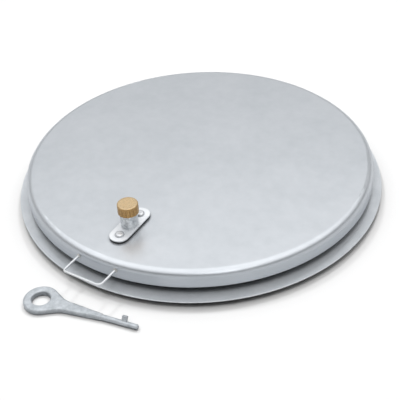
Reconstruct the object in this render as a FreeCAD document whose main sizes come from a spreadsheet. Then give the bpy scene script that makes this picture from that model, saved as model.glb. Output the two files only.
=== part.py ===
"""Round well cover, nominal size 800: a sheet steel lid hinged on a flanged collar.

Row frame: millimetres, +Z up, origin at the centre of the anchor bolt circle on the underside
of the flange. The lock and the handle are at the front, -Y, and the hinges at the back, +Y.
The collar reaches below the flange, and the key lies on the ground in front of the cover.
"""
import FreeCAD
import Part
import Sketcher

import os
import re

Vector = FreeCAD.Vector

# Driving dimensions: name, value in mm or degrees, and what it is
SIZES = [
    ("collar_inner_radius", 400, "clear opening of the shaft, as a radius"),
    ("collar_wall", 3, "sheet of the collar"),
    ("collar_drop", 20, "collar below the underside of the flange"),
    ("collar_edge_round", 1, "rounding of the collar's upper edge"),
    ("flange_width", 97, "flange beyond the collar"),
    ("flange_thick", 3, "sheet of the flange"),
    ("flange_edge_round", 0.8, "rounding of the flange's outer edges"),
    ("anchor_from_collar", 37, "circle of the anchor holes beyond the collar"),
    ("anchor_hole_radius", 7, "anchor hole"),
    ("anchor_count", 8, "number of anchor holes"),
    ("weld_leg", 4, "leg of the weld between collar and flange"),
    ("lid_overhang", 72, "lid beyond the collar"),
    ("lid_lift", 27, "lower edge of the lid above the underside of the flange"),
    ("lid_height", 45, "height of the lid"),
    ("lid_sheet", 3, "sheet of the lid"),
    ("lid_corner", 18, "outer bend radius of the lid's edge"),
    ("lid_edge_round", 1, "rounding of the lid's lower outer edge"),
    ("seal_width", 13, "width of the lid's sealing ring"),
    ("seal_height", 6.2, "height of the lid's sealing ring"),
    ("seal_gap", 0.3, "sealing ring above the collar's edge"),
    ("channel_sheet", 1.2, "sheet of the channel that holds the sealing ring"),
    ("channel_lip", 5, "depth of the channel's lips below its web"),
    ("rail_offset", 170, "stiffening rails left and right of the centre"),
    ("rail_end_gap", 7.8, "rail ends to the seal's channel"),
    ("rail_box_width", 50, "width of a rail's box"),
    ("rail_foot", 15, "width of a rail's foot"),
    ("rail_depth", 25, "depth of a rail"),
    ("rail_sheet", 2, "sheet of a rail"),
    ("rail_play", 0.2, "cross rail to the long rails"),
    ("hinge_offset", 100, "hinges left and right of the centre"),
    ("hinge_from_collar", 35, "hinge axis beyond the collar"),
    ("hinge_below_lid", 15, "hinge axis below the lid's underside"),
    ("hinge_pin_radius", 4, "hinge pin"),
    ("hinge_pin_play", 0.05, "radial play of the pin in its arm and lugs"),
    ("hinge_eye_radius", 8, "round end of lugs and arm about the pin"),
    ("hinge_arm_width", 15, "width of the arm between the lugs"),
    ("hinge_side_play", 0.5, "arm to lug on each side"),
    ("hinge_lug_wall", 8, "width of each lug"),
    ("hinge_lug_top", 6, "lug above the hinge axis, over the collar"),
    ("hinge_lug_foot", 26, "lug below the hinge axis, at the collar"),
    ("arm_pad_front", 30, "arm's pad in front of the hinge axis"),
    ("arm_pad_back", 1, "arm's pad behind the hinge axis"),
    ("arm_pad_width", 40, "width of the arm's pad"),
    ("arm_pad_thick", 4, "thickness of the arm's pad"),
    ("pin_head_radius", 6, "head of the hinge pin"),
    ("pin_head_thick", 2.5, "thickness of the pin's head"),
    ("pin_tail", 4, "pin beyond the lug, with the clip's groove"),
    ("clip_thick", 1, "retaining clip of the hinge pin"),
    ("clip_depth", 0.8, "depth of the clip's groove"),
    ("clip_rim", 2.6, "clip beyond the pin's surface"),
    ("lock_from_collar", 60, "lock's axis inside the collar"),
    ("plate_beyond_screw", 25, "lock plate beyond its screws' axes"),
    ("plate_beside_tube", 3.25, "lock plate beside the tube"),
    ("plate_thick", 3, "lock plate"),
    ("plate_end_flat", 0.5, "half the flat at the lock plate's ends"),
    ("plate_edge_round", 0.8, "rounding of the lock plate's upper edge"),
    ("plate_seal_thick", 5.5, "rubber under the lock plate"),
    ("plate_seal_inset", 0.5, "rubber inside the edge of the lock plate"),
    ("screw_from_channel", 7.8, "axis of the outer lock screw to the seal's channel"),
    ("screw_radius", 4, "shank of the lock plate screws"),
    ("screw_hole_play", 0.4, "radial play of the screws in their holes"),
    ("screw_head_radius", 12, "domed head of the lock plate screws"),
    ("screw_head_height", 6, "height of the domed head"),
    ("screw_tail", 2.5, "screw beyond its nut"),
    ("screw_nut_flats", 13, "across flats of the screws' nuts"),
    ("screw_nut_height", 6.5, "height of the screws' nuts"),
    ("tube_radius", 22.25, "outer radius of the lock tube"),
    ("tube_wall", 2.6, "wall of the lock tube"),
    ("tube_above_plate", 60, "lock tube above the lock plate"),
    ("tube_below_lid", 15, "lock tube below the lid's underside"),
    ("tube_hole_play", 0.4, "radial play of the tube in lid and rubber"),
    ("guide_depth", 8, "key guide below the tube's mouth"),
    ("guide_thick", 4, "thickness of the key guide"),
    ("bush_height", 10, "bearing bush in the foot of the tube"),
    ("spindle_radius", 11, "spindle in its bush"),
    ("spindle_play", 0.06, "radial play of the spindle in its bush"),
    ("spindle_end_play", 0.3, "play of the spindle along its axis"),
    ("driver_play", 0.75, "radial play of the spindle's head in the tube"),
    ("driver_height", 32, "height of the spindle's head"),
    ("driver_slot_depth", 14, "depth of the slot for the key's bit"),
    ("driver_bore_depth", 50, "depth of the bore for the key's tip"),
    ("ring_thick", 1.5, "retaining ring of the spindle"),
    ("ring_groove", 1, "depth of the ring's groove"),
    ("ring_rim", 4, "retaining ring beyond the spindle's surface"),
    ("spindle_shoulder", 14, "shoulder over the latch below the tube's foot"),
    ("latch_square", 14, "square on the spindle that turns the latch"),
    ("latch_square_play", 0.1, "play of the latch on the square, on each side"),
    ("latch_tip_gap", 15.5, "tip of the locked latch to the collar"),
    ("latch_width", 24, "width of the latch"),
    ("latch_hub_radius", 15, "hub of the latch"),
    ("latch_thick", 6, "thickness of the latch"),
    ("latch_tip_round", 8, "rounding of the latch's tip"),
    ("latch_lift_play", 0.5, "latch below the keeper"),
    ("stud_radius", 5, "stud under the latch"),
    ("stud_washer_radius", 11, "washer under the latch"),
    ("stud_washer_thick", 2, "thickness of the washer"),
    ("stud_nut_flats", 17, "across flats of the latch's nut"),
    ("stud_nut_height", 8, "height of the latch's nut"),
    ("stud_tail", 3, "stud beyond its nut"),
    ("thread_play", 0.05, "nuts and washers about their threads"),
    ("keeper_from_lock", 26, "keeper's edge from the lock's axis"),
    ("keeper_width", 44, "width of the keeper"),
    ("keeper_thick", 5, "thickness of the keeper"),
    ("keeper_leg", 16, "leg of the keeper down the collar"),
    ("cap_wall", 4.1, "wall of the brass cap"),
    ("cap_height", 27, "height of the brass cap"),
    ("cap_top", 5, "thickness of the cap's top"),
    ("cap_top_round", 3.8, "rounding of the cap's upper edge"),
    ("cap_bore_play", 0.15, "radial play of the cap on the tube"),
    ("cap_seal_thick", 2, "rubber disc inside the cap"),
    ("cap_flute_count", 16, "finger grooves round the cap"),
    ("cap_flute_radius", 3, "radius of a finger groove"),
    ("cap_flute_depth", 0.9, "depth of a finger groove"),
    ("cap_flute_rise", 20, "height of the finger grooves"),
    ("cap_face_inset", 5.7, "ring groove round the plain face, inside the cap's edge"),
    ("cap_face_groove", 0.5, "depth and half width of the ring groove"),
    ("handle_half_width", 55, "handle's legs left and right of its middle"),
    ("handle_reach", 58.5, "handle's crossbar beyond the lid"),
    ("handle_rise", 24, "handle above the lid's lower edge"),
    ("handle_turn", 1.4, "handle round from the front to the left, in degrees"),
    ("handle_rod_radius", 3, "rod of the handle"),
    ("handle_left_bend", 8, "bend radius at the handle's left corner"),
    ("handle_right_bend", 13, "bend radius at the handle's right corner"),
    ("handle_weld_leg", 3, "leg of the welds at the handle's feet"),
    ("key_eye_radius", 44, "outer radius of the key's eye"),
    ("key_hole_radius", 23, "hole in the key's eye"),
    ("key_thick", 16, "thickness of the key's eye"),
    ("key_edge_round", 5.5, "rounding of the key's eye and neck"),
    ("key_hole_round", 4, "rounding of the hole in the key's eye"),
    ("key_length", 261, "key from the eye's centre to its tip"),
    ("key_neck_aim", 90, "where the eye's two sides would meet"),
    ("key_waist_half", 17, "half width of the neck beside the eye"),
    ("key_neck_end", 165, "end of the key's tapering neck"),
    ("key_neck_round", 60, "blend from eye to neck"),
    ("key_shank_radius", 7.5, "shank at the neck"),
    ("key_tip_radius", 6.3, "shank at the tip"),
    ("key_play", 1.1, "radial play of the key's tip in guide and spindle"),
    ("key_tip_round", 2, "rounding of the key's tip"),
    ("bit_from_tip", 36.5, "middle of the key's bit from its tip"),
    ("bit_width", 12, "bit along the shank"),
    ("bit_bore_gap", 0.85, "end of the bit to the bore of the lock tube"),
    ("bit_thick", 9, "thickness of the bit"),
    ("bit_play", 0.6, "bit in its slots, on each side"),
    ("bit_turn", 60, "bit up from the plane of the key's eye, in degrees"),
    ("key_mark_radius", 5.2, "round casting mark on the eye"),
    ("key_mark_depth", 0.8, "depth of the casting mark"),
    ("key_mark_angle", 55, "casting mark round the eye, in degrees from the shank"),
    ("key_eye_x", -100.7, "eye of the key to the right of the centre"),
    ("key_from_flange", 91.3, "eye of the key in front of the flange"),
    ("key_turn", 7.6, "direction of the key, in degrees from +X"),
]
SIZE_NAMES = {name for name, _, _ in SIZES}

# Levels and places that several pieces share, as formulas of the driving dimensions
LID_TOP = "(lid_lift + lid_height)"
LID_UNDER = "(lid_lift + lid_height - lid_sheet)"
SEAL_MIDDLE = "(collar_inner_radius + collar_wall / 2)"
CHANNEL_INNER = f"({SEAL_MIDDLE} - seal_width / 2 - channel_sheet)"
SEAL_BOTTOM = "(lid_lift + lid_height - lid_sheet - channel_sheet - seal_height)"
COLLAR_TOP = "(lid_lift + lid_height - lid_sheet - channel_sheet - seal_height - seal_gap)"
COLLAR_OUTER = "(collar_inner_radius + collar_wall)"
FLANGE_RADIUS = f"({COLLAR_OUTER} + flange_width)"
ANCHOR_RADIUS = f"({COLLAR_OUTER} + anchor_from_collar)"
LID_RADIUS = f"({COLLAR_OUTER} + lid_overhang)"
RAIL_REACH = f"({CHANNEL_INNER} - rail_end_gap)"
HINGE_BACK = f"({COLLAR_OUTER} + hinge_from_collar)"
HINGE_Z = "(lid_lift + lid_height - lid_sheet - hinge_below_lid)"
HINGE_EAR_IN = "(hinge_arm_width / 2 + hinge_side_play)"
HINGE_EAR_OUT = "(hinge_arm_width / 2 + hinge_side_play + hinge_lug_wall)"
LOCK_RADIUS = "(collar_inner_radius - lock_from_collar)"
SCREW_OFFSET = f"({CHANNEL_INNER} - screw_from_channel - {LOCK_RADIUS})"
PLATE_LENGTH = f"(2 * ({SCREW_OFFSET} + plate_beyond_screw))"
PLATE_WIDTH = "(2 * (tube_radius + plate_beside_tube))"
PLATE_END_ROUND = f"({PLATE_WIDTH} / 2 - plate_end_flat)"
PLATE_UNDER = "(lid_lift + lid_height + plate_seal_thick)"
PLATE_TOP = "(lid_lift + lid_height + plate_seal_thick + plate_thick)"
TUBE_TOP = f"({PLATE_TOP} + tube_above_plate)"
TUBE_FOOT = f"({LID_UNDER} - tube_below_lid)"
TUBE_BORE = "(tube_radius - tube_wall)"
DRIVER_RADIUS = f"({TUBE_BORE} - driver_play)"
LATCH_LENGTH = "(lock_from_collar - latch_tip_gap)"
GUIDE_TOP = f"({TUBE_TOP} - guide_depth)"
BUSH_TOP = f"({TUBE_FOOT} + bush_height)"
DRIVER_TOP = f"({BUSH_TOP} + spindle_end_play + driver_height)"
LATCH_TOP = f"({TUBE_FOOT} - spindle_shoulder)"
LATCH_UNDER = f"({LATCH_TOP} - latch_thick)"
NUT_TOP = f"({LATCH_UNDER} - stud_washer_thick)"
CAP_TOP = f"({TUBE_TOP} + cap_seal_thick + cap_top)"
CAP_FOOT = f"({CAP_TOP} - cap_height)"
CAP_RADIUS = "(tube_radius + cap_bore_play + cap_wall)"
CAP_FACE_RADIUS = f"({CAP_RADIUS} - cap_face_inset)"
HANDLE_FRONT = f"({LID_RADIUS} + handle_reach)"
HANDLE_FOOT = f"sqrt({LID_RADIUS} * {LID_RADIUS} - handle_half_width * handle_half_width)"
HANDLE_Z = "(lid_lift + handle_rise)"
KEY_HOLE_RADIUS = "(key_tip_radius + key_play)"
BIT_REACH = f"({TUBE_BORE} - bit_bore_gap)"

doc = FreeCAD.newDocument("well_cover")
sheet = doc.addObject("Spreadsheet::Sheet", "Sizes")
nodes = []


def fill_sheet():
    """Write the driving dimensions into the sheet, one row each."""
    for row, (name, value, meaning) in enumerate(SIZES, start=1):
        sheet.set(f"A{row}", meaning)
        sheet.set(f"B{row}", str(value))
        sheet.setAlias(f"B{row}", name)
    doc.recompute()


def bound(formula):
    """A formula with each size's name turned into a reference to the sheet."""
    def refer(match):
        word = match.group(0)
        return f"Sizes.{word}" if word in SIZE_NAMES else word
    return re.sub(r"[a-z][a-z_]*", refer, str(formula))


def number(formula):
    """The present value of a formula."""
    value = sheet.evalExpression(bound(formula))
    return float(getattr(value, "Value", value))


def bind(target, prop, formula):
    """Tie a property to a formula of the sheet's sizes."""
    target.setExpression(prop, bound(formula))


def new_body(name, kept=True):
    """Start a body; a kept one is a sub-part of its own."""
    body = doc.addObject("PartDesign::Body", name)
    body.Label = name
    if kept:
        nodes.append(body)
    return body


def place(body, across="0", along="0", up="0"):
    """Put a body at a place given by formulas."""
    bind(body, "Placement.Base.x", across)
    bind(body, "Placement.Base.y", along)
    bind(body, "Placement.Base.z", up)


def turn(body, axis, angle):
    """Turn a body about an axis through its own origin."""
    body.Placement.Rotation = FreeCAD.Rotation(axis, 1.0)
    bind(body, "Placement.Rotation.Angle", angle)


def new_sketch(body, name, plane, level="0"):
    """Attach a sketch to one of the body's own planes, at a level along its normal."""
    sketch = body.newObject("Sketcher::SketchObject", name)
    support = next(item for item in body.Origin.OriginFeatures if item.Role == plane)
    sketch.AttachmentSupport = [(support, "")]
    sketch.MapMode = "FlatFace"
    bind(sketch, "AttachmentOffset.Base.z", level)
    return sketch


def fix_point(sketch, geometry, point, across, up):
    """Hold one point of a sketch at a place given by two formulas."""
    for direction, formula in (("DistanceX", across), ("DistanceY", up)):
        value = number(formula)
        row = sketch.addConstraint(Sketcher.Constraint(direction, geometry, point, value))
        sketch.setExpression(f"Constraints[{row}]", bound(formula))


def add_outline(sketch, points):
    """Add a closed outline of straight lines through the points, each tied to its formulas."""
    places = [Vector(number(across), number(up), 0) for across, up in points]
    first = sketch.GeometryCount
    count = len(points)
    for index in range(count):
        sketch.addGeometry(Part.LineSegment(places[index], places[(index + 1) % count]))
    for index in range(count):
        following = first + (index + 1) % count
        sketch.addConstraint(Sketcher.Constraint("Coincident", first + index, 2, following, 1))
    for index, (across, up) in enumerate(points):
        fix_point(sketch, first + index, 1, across, up)


def add_circle(sketch, radius, across="0", up="0"):
    """Add a circle with its centre and radius tied to formulas."""
    centre = Vector(number(across), number(up), 0)
    row = sketch.addGeometry(Part.Circle(centre, Vector(0, 0, 1), number(radius)))
    fix_point(sketch, row, 3, across, up)
    size = sketch.addConstraint(Sketcher.Constraint("Radius", row, number(radius)))
    sketch.setExpression(f"Constraints[{size}]", bound(radius))


def add_feature(body, kind, name, sketch):
    """Add a feature that works on a sketch."""
    feature = body.newObject(f"PartDesign::{kind}", name)
    feature.Profile = sketch
    sketch.Visibility = False
    return feature


def pad(body, name, sketch, length, middle=False):
    """Raise a sketch along its normal, or evenly to both sides."""
    feature = add_feature(body, "Pad", name, sketch)
    if middle:
        feature.SideType = "Symmetric"
    bind(feature, "Length", length)
    doc.recompute()
    return feature


def pocket(body, name, sketch, length=None, middle=False):
    """Cut a sketch against its normal, to a depth or through all, and see that it cuts."""
    before = body.Shape.Volume
    feature = add_feature(body, "Pocket", name, sketch)
    if middle:
        feature.SideType = "Symmetric"
    if length is None:
        feature.Type = "ThroughAll"
    else:
        bind(feature, "Length", length)
    doc.recompute()
    if body.Shape.Volume >= before:
        raise RuntimeError(f"{body.Label}: {name} cuts nothing")
    return feature


def revolve(body, name, points, plane="XZ_Plane", axis="V_Axis"):
    """Turn a closed outline once about an axis of its sketch."""
    sketch = new_sketch(body, f"{name}_outline", plane)
    add_outline(sketch, points)
    feature = add_feature(body, "Revolution", name, sketch)
    feature.ReferenceAxis = (sketch, [axis])
    feature.Angle = 360
    doc.recompute()
    return feature


def repeat_round(body, name, feature, count):
    """Repeat a feature evenly round the body's Z axis."""
    before = body.Shape.Volume
    pattern = body.newObject("PartDesign::PolarPattern", name)
    pattern.Originals = [feature]
    pattern.Axis = (feature.Profile[0], ["N_Axis"])
    pattern.Angle = 360
    bind(pattern, "Occurrences", count)
    body.Tip = pattern
    doc.recompute()
    if body.Shape.Volume >= before:
        raise RuntimeError(f"{body.Label}: {name} repeats nothing")
    return pattern


def round_edges(body, name, radius, wanted):
    """Round the edges of the body's last feature whose bounding boxes pass a test."""
    base = body.Tip
    names = [f"Edge{row}" for row, edge in enumerate(base.Shape.Edges, start=1)
             if wanted(edge.BoundBox)]
    if not names:
        raise RuntimeError(f"{body.Label}: {name} finds no edge")
    feature = body.newObject("PartDesign::Fillet", name)
    feature.Base = (base, names)
    bind(feature, "Radius", radius)
    doc.recompute()
    return feature


def near(value, formula):
    """Whether a measured value is that of a formula."""
    return abs(value - number(formula)) < 1e-4


def flat_at(formula):
    """A test for edges that lie at one level."""
    return lambda box: near(box.ZMin, formula) and near(box.ZMax, formula)


def ring(name, inner, outer, bottom, top):
    """A body that is a plain ring about its Z axis."""
    body = new_body(name)
    sketch = new_sketch(body, f"{name}_rings", "XY_Plane", bottom)
    add_circle(sketch, outer)
    add_circle(sketch, inner)
    pad(body, f"{name}_pad", sketch, f"{top} - {bottom}")
    return body


def hexagon(sketch, flats):
    """Add a hexagon about the sketch's origin, by its width across flats."""
    corner = f"{flats} / 2 / cos(30)"
    add_outline(sketch, [(f"{corner} * cos({60 * side})", f"{corner} * sin({60 * side})")
                         for side in range(6)])


def make_nut(name, flats, height, bore, top, kept=True):
    """A hexagon nut hanging down from a level."""
    body = new_body(name, kept)
    sketch = new_sketch(body, f"{name}_hexagon", "XY_Plane", f"{top} - {height}")
    hexagon(sketch, flats)
    add_circle(sketch, bore)
    pad(body, f"{name}_pad", sketch, height)
    return body


def group(name, members):
    """Keep several bodies as one sub-part of separate solids."""
    compound = doc.addObject("Part::Compound", name)
    compound.Label = name
    compound.Links = members
    nodes.append(compound)


# Frame


def make_flange():
    """Flat ring that is bolted down, with its ring of anchor holes."""
    body = ring("frame_flange", COLLAR_OUTER, FLANGE_RADIUS, "0", "flange_thick")
    sketch = new_sketch(body, "anchor_hole_place", "XY_Plane", "flange_thick")
    half_step = "180 / anchor_count"
    add_circle(sketch, "anchor_hole_radius", f"{ANCHOR_RADIUS} * cos({half_step})",
               f"{ANCHOR_RADIUS} * sin({half_step})")
    hole = pocket(body, "anchor_hole", sketch)
    repeat_round(body, "anchor_holes", hole, "anchor_count")
    round_edges(body, "flange_edge", "flange_edge_round",
                lambda box: near(box.XMax, FLANGE_RADIUS) and box.ZLength < 1e-6)


def make_collar():
    """Rolled collar whose rounded upper edge meets the lid's sealing ring."""
    body = new_body("frame_collar")
    revolve(body, "collar_ring", [
        ("collar_inner_radius", "-collar_drop"),
        (COLLAR_OUTER, "-collar_drop"),
        (COLLAR_OUTER, COLLAR_TOP),
        ("collar_inner_radius", COLLAR_TOP),
    ])
    round_edges(body, "collar_edge", "collar_edge_round", flat_at(COLLAR_TOP))


def make_weld():
    """Fillet weld in the corner between the collar and the flange."""
    body = new_body("frame_weld")
    revolve(body, "weld_bead", [
        (COLLAR_OUTER, "flange_thick"),
        (f"{COLLAR_OUTER} + weld_leg", "flange_thick"),
        (COLLAR_OUTER, "flange_thick + weld_leg"),
    ])


def make_keeper():
    """Angle inside the collar that the latch turns under."""
    body = new_body("latch_keeper")
    inner = f"-({LOCK_RADIUS} + keeper_from_lock)"
    outer = "-(collar_inner_radius + collar_wall)"
    leg = "-(collar_inner_radius - keeper_thick)"
    under = f"({LATCH_TOP} + latch_lift_play)"
    over = f"({under} + keeper_thick)"
    sketch = new_sketch(body, "keeper_outline", "YZ_Plane")
    add_outline(sketch, [
        (inner, under), (inner, over), (leg, over), (leg, f"{over} + keeper_leg - keeper_thick"),
        (outer, f"{over} + keeper_leg - keeper_thick"), (outer, under),
    ])
    pad(body, "keeper_angle", sketch, "keeper_width", middle=True)
    beyond = new_sketch(body, "keeper_seat_ring", "XY_Plane", f"{over} + keeper_leg")
    add_circle(beyond, "collar_inner_radius")
    add_circle(beyond, "collar_inner_radius + 10 * collar_wall")
    pocket(body, "keeper_seat", beyond)


# Hinges


def make_hinge_lug(side, word):
    """Pair of lugs on the outside of the collar that carry one hinge pin."""
    body = new_body(f"hinge_lug_{word}")
    place(body, f"{side} * hinge_offset", HINGE_BACK, HINGE_Z)
    back = f"-({HINGE_BACK} - collar_inner_radius * 0.93)"
    sketch = new_sketch(body, f"lug_outline_{word}", "YZ_Plane")
    add_outline(sketch, [
        (back, "-hinge_lug_foot"), ("0", "-hinge_eye_radius"),
        ("0", "hinge_lug_top"), (back, "hinge_lug_top"),
    ])
    pad(body, f"lug_block_{word}", sketch, f"2 * {HINGE_EAR_OUT}", middle=True)
    end = new_sketch(body, f"lug_end_circle_{word}", "YZ_Plane")
    add_circle(end, "hinge_eye_radius")
    pad(body, f"lug_end_{word}", end, f"2 * {HINGE_EAR_OUT}", middle=True)
    slot = new_sketch(body, f"lug_slot_outline_{word}", "XY_Plane", "2 * hinge_eye_radius")
    slot_back = "-(hinge_eye_radius + 4 * hinge_side_play)"
    slot_front = "2 * hinge_eye_radius"
    add_outline(slot, [
        (f"-{HINGE_EAR_IN}", slot_back), (HINGE_EAR_IN, slot_back),
        (HINGE_EAR_IN, slot_front), (f"-{HINGE_EAR_IN}", slot_front),
    ])
    pocket(body, f"lug_slot_{word}", slot)
    bore = new_sketch(body, f"lug_bore_circle_{word}", "YZ_Plane")
    add_circle(bore, "hinge_pin_radius + hinge_pin_play")
    pocket(body, f"lug_bore_{word}", bore, f"3 * {HINGE_EAR_OUT}", middle=True)
    seat = new_sketch(body, f"lug_seat_circle_{word}", "XY_Plane", "2 * hinge_eye_radius")
    add_circle(seat, COLLAR_OUTER, f"-({side}) * hinge_offset", f"-{HINGE_BACK}")
    pocket(body, f"lug_seat_{word}", seat)


def make_hinge_arm(side, word):
    """Arm under the lid that turns on one hinge pin."""
    body = new_body(f"hinge_arm_{word}")
    place(body, f"{side} * hinge_offset", HINGE_BACK, HINGE_Z)
    stem = new_sketch(body, f"arm_stem_outline_{word}", "YZ_Plane")
    stem_top = "hinge_below_lid"
    add_outline(stem, [
        ("-hinge_eye_radius", "0"), ("hinge_eye_radius", "0"),
        ("hinge_eye_radius", stem_top), ("-hinge_eye_radius", stem_top),
    ])
    pad(body, f"arm_stem_{word}", stem, "hinge_arm_width", middle=True)
    barrel = new_sketch(body, f"arm_barrel_circle_{word}", "YZ_Plane")
    add_circle(barrel, "hinge_eye_radius")
    pad(body, f"arm_barrel_{word}", barrel, "hinge_arm_width", middle=True)
    foot = new_sketch(body, f"arm_pad_outline_{word}", "YZ_Plane")
    add_outline(foot, [
        ("-arm_pad_front", "hinge_below_lid - arm_pad_thick"),
        ("arm_pad_back", "hinge_below_lid - arm_pad_thick"),
        ("arm_pad_back", "hinge_below_lid"), ("-arm_pad_front", "hinge_below_lid"),
    ])
    pad(body, f"arm_pad_{word}", foot, "arm_pad_width", middle=True)
    bore = new_sketch(body, f"arm_bore_circle_{word}", "YZ_Plane")
    add_circle(bore, "hinge_pin_radius + hinge_pin_play")
    pocket(body, f"arm_bore_{word}", bore, "2 * hinge_arm_width", middle=True)


def make_hinge_pin(side, word):
    """Hinge pin with a head at one end and a groove for its clip at the other."""
    body = new_body(f"hinge_pin_{word}")
    place(body, f"{side} * hinge_offset", HINGE_BACK, HINGE_Z)
    groove = "(hinge_pin_radius - clip_depth)"
    tail = f"({HINGE_EAR_OUT} + pin_tail)"
    revolve(body, f"pin_{word}", [
        (f"-{HINGE_EAR_OUT} - pin_head_thick", "0"),
        (f"-{HINGE_EAR_OUT} - pin_head_thick", "pin_head_radius"),
        (f"-{HINGE_EAR_OUT}", "pin_head_radius"), (f"-{HINGE_EAR_OUT}", "hinge_pin_radius"),
        (f"{HINGE_EAR_OUT} + hinge_side_play", "hinge_pin_radius"),
        (f"{HINGE_EAR_OUT} + hinge_side_play", groove),
        (f"{HINGE_EAR_OUT} + hinge_side_play + clip_thick", groove),
        (f"{HINGE_EAR_OUT} + hinge_side_play + clip_thick", "hinge_pin_radius"),
        (tail, "hinge_pin_radius"), (tail, "0"),
    ], plane="XY_Plane", axis="H_Axis")


def make_hinge_clip(side, word):
    """Open retaining clip in the groove of a hinge pin."""
    body = new_body(f"hinge_clip_{word}")
    place(body, f"{side} * hinge_offset", HINGE_BACK, HINGE_Z)
    start = f"{HINGE_EAR_OUT} + hinge_side_play"
    sketch = new_sketch(body, f"clip_rings_{word}", "YZ_Plane", start)
    add_circle(sketch, "hinge_pin_radius + clip_rim")
    add_circle(sketch, "hinge_pin_radius - clip_depth")
    pad(body, f"clip_ring_{word}", sketch, "clip_thick")
    mouth = new_sketch(body, f"clip_mouth_outline_{word}", "YZ_Plane", f"{start} + clip_thick")
    half = "(hinge_pin_radius - clip_depth) * 0.8"
    low = "-(hinge_pin_radius + 2 * clip_rim)"
    add_outline(mouth, [(f"-{half}", low), (half, low), (half, "0"), (f"-{half}", "0")])
    pocket(body, f"clip_mouth_{word}", mouth, "clip_thick")


# Lid


def make_lid_shell():
    """Flat round lid with a deep skirt, bent from one sheet, with the lock's openings."""
    body = new_body("lid_shell")
    inner = f"({LID_RADIUS} - lid_sheet)"
    revolve(body, "lid_pan", [
        ("0", LID_UNDER), (inner, LID_UNDER), (inner, "lid_lift"),
        (LID_RADIUS, "lid_lift"), (LID_RADIUS, LID_TOP), ("0", LID_TOP),
    ])
    round_edges(body, "lid_outer_bend", "lid_corner",
                lambda box: flat_at(LID_TOP)(box) and near(box.XMax, LID_RADIUS))
    round_edges(body, "lid_inner_bend", "lid_corner - lid_sheet",
                lambda box: flat_at(LID_UNDER)(box) and near(box.XMax, inner))
    round_edges(body, "lid_lower_edge", "lid_edge_round",
                lambda box: flat_at("lid_lift")(box) and near(box.XMax, LID_RADIUS))
    openings = new_sketch(body, "lock_opening_circles", "XY_Plane", LID_TOP)
    add_circle(openings, "tube_radius + tube_hole_play", "0", f"-{LOCK_RADIUS}")
    for side in (-1, 1):
        add_circle(openings, "screw_radius + screw_hole_play", "0",
                   f"-{LOCK_RADIUS} + {side} * {SCREW_OFFSET}")
    pocket(body, "lock_openings", openings)


def make_seal_channel():
    """Channel under the lid that holds the sealing ring over the collar's edge."""
    body = new_body("gasket_channel")
    half = "(seal_width / 2)"
    inner_wall = f"({SEAL_MIDDLE} - {half})"
    outer_wall = f"({SEAL_MIDDLE} + {half})"
    web_under = f"({LID_UNDER} - channel_sheet)"
    lip_foot = f"({LID_UNDER} - channel_sheet - channel_lip)"
    revolve(body, "channel_ring", [
        (CHANNEL_INNER, LID_UNDER), (CHANNEL_INNER, lip_foot), (inner_wall, lip_foot),
        (inner_wall, web_under), (outer_wall, web_under), (outer_wall, lip_foot),
        (f"{outer_wall} + channel_sheet", lip_foot), (f"{outer_wall} + channel_sheet", LID_UNDER),
    ])


def make_seal():
    """Rubber sealing ring, domed below, in its channel."""
    body = new_body("lid_gasket")
    half = "(seal_width / 2)"
    top = f"({LID_UNDER} - channel_sheet)"
    shoulder = f"({SEAL_BOTTOM} + seal_height / 3)"
    revolve(body, "seal_ring", [
        (f"{SEAL_MIDDLE} - {half}", top), (f"{SEAL_MIDDLE} - {half}", shoulder),
        (f"{SEAL_MIDDLE} - {half} / 2", SEAL_BOTTOM), (f"{SEAL_MIDDLE} + {half} / 2", SEAL_BOTTOM),
        (f"{SEAL_MIDDLE} + {half}", shoulder), (f"{SEAL_MIDDLE} + {half}", top),
    ])


def rail_outline(sketch):
    """Add the open box section of a stiffening rail, hanging from the lid."""
    foot = "(rail_box_width / 2 + rail_foot)"
    wall = "(rail_box_width / 2)"
    hollow = "(rail_box_width / 2 - rail_sheet)"
    top = LID_UNDER
    foot_under = f"{LID_UNDER} - rail_sheet"
    floor = f"{LID_UNDER} - rail_depth"
    floor_top = f"{LID_UNDER} - rail_depth + rail_sheet"
    add_outline(sketch, [
        (f"-{foot}", top), (f"-{foot}", foot_under), (f"-{wall}", foot_under),
        (f"-{wall}", floor), (wall, floor), (wall, foot_under), (foot, foot_under), (foot, top),
        (hollow, top), (hollow, floor_top), (f"-{hollow}", floor_top), (f"-{hollow}", top),
    ])


def make_rail(side, word):
    """Stiffening rail from front to back under the lid."""
    body = new_body(f"lid_rail_{word}")
    place(body, f"{side} * rail_offset")
    sketch = new_sketch(body, f"rail_section_{word}", "XZ_Plane")
    rail_outline(sketch)
    edge = "(rail_offset + rail_box_width / 2 + rail_foot)"
    reach = f"2 * sqrt({RAIL_REACH} * {RAIL_REACH} - {edge} * {edge})"
    pad(body, f"rail_{word}", sketch, reach, middle=True)


def make_cross_rail():
    """Stiffening rail across the lid, between the two long ones."""
    body = new_body("lid_cross_rail")
    sketch = new_sketch(body, "cross_rail_section", "YZ_Plane")
    rail_outline(sketch)
    span = "2 * (rail_offset - rail_box_width / 2 - rail_foot - rail_play)"
    pad(body, "cross_rail", sketch, span, middle=True)


# Lock


def stadium(body, name, length, width, radius, bottom, thick):
    """Raise a plate with round ends along Y."""
    sketch = new_sketch(body, f"{name}_outline", "XY_Plane", bottom)
    half_width = f"({width}) / 2"
    half_length = f"({length}) / 2"
    add_outline(sketch, [
        (f"-{half_width}", f"-{half_length}"), (half_width, f"-{half_length}"),
        (half_width, half_length), (f"-{half_width}", half_length),
    ])
    pad(body, f"{name}_pad", sketch, thick)
    round_edges(body, f"{name}_ends", radius,
                lambda box: box.XLength < 1e-6 and box.YLength < 1e-6)


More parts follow.
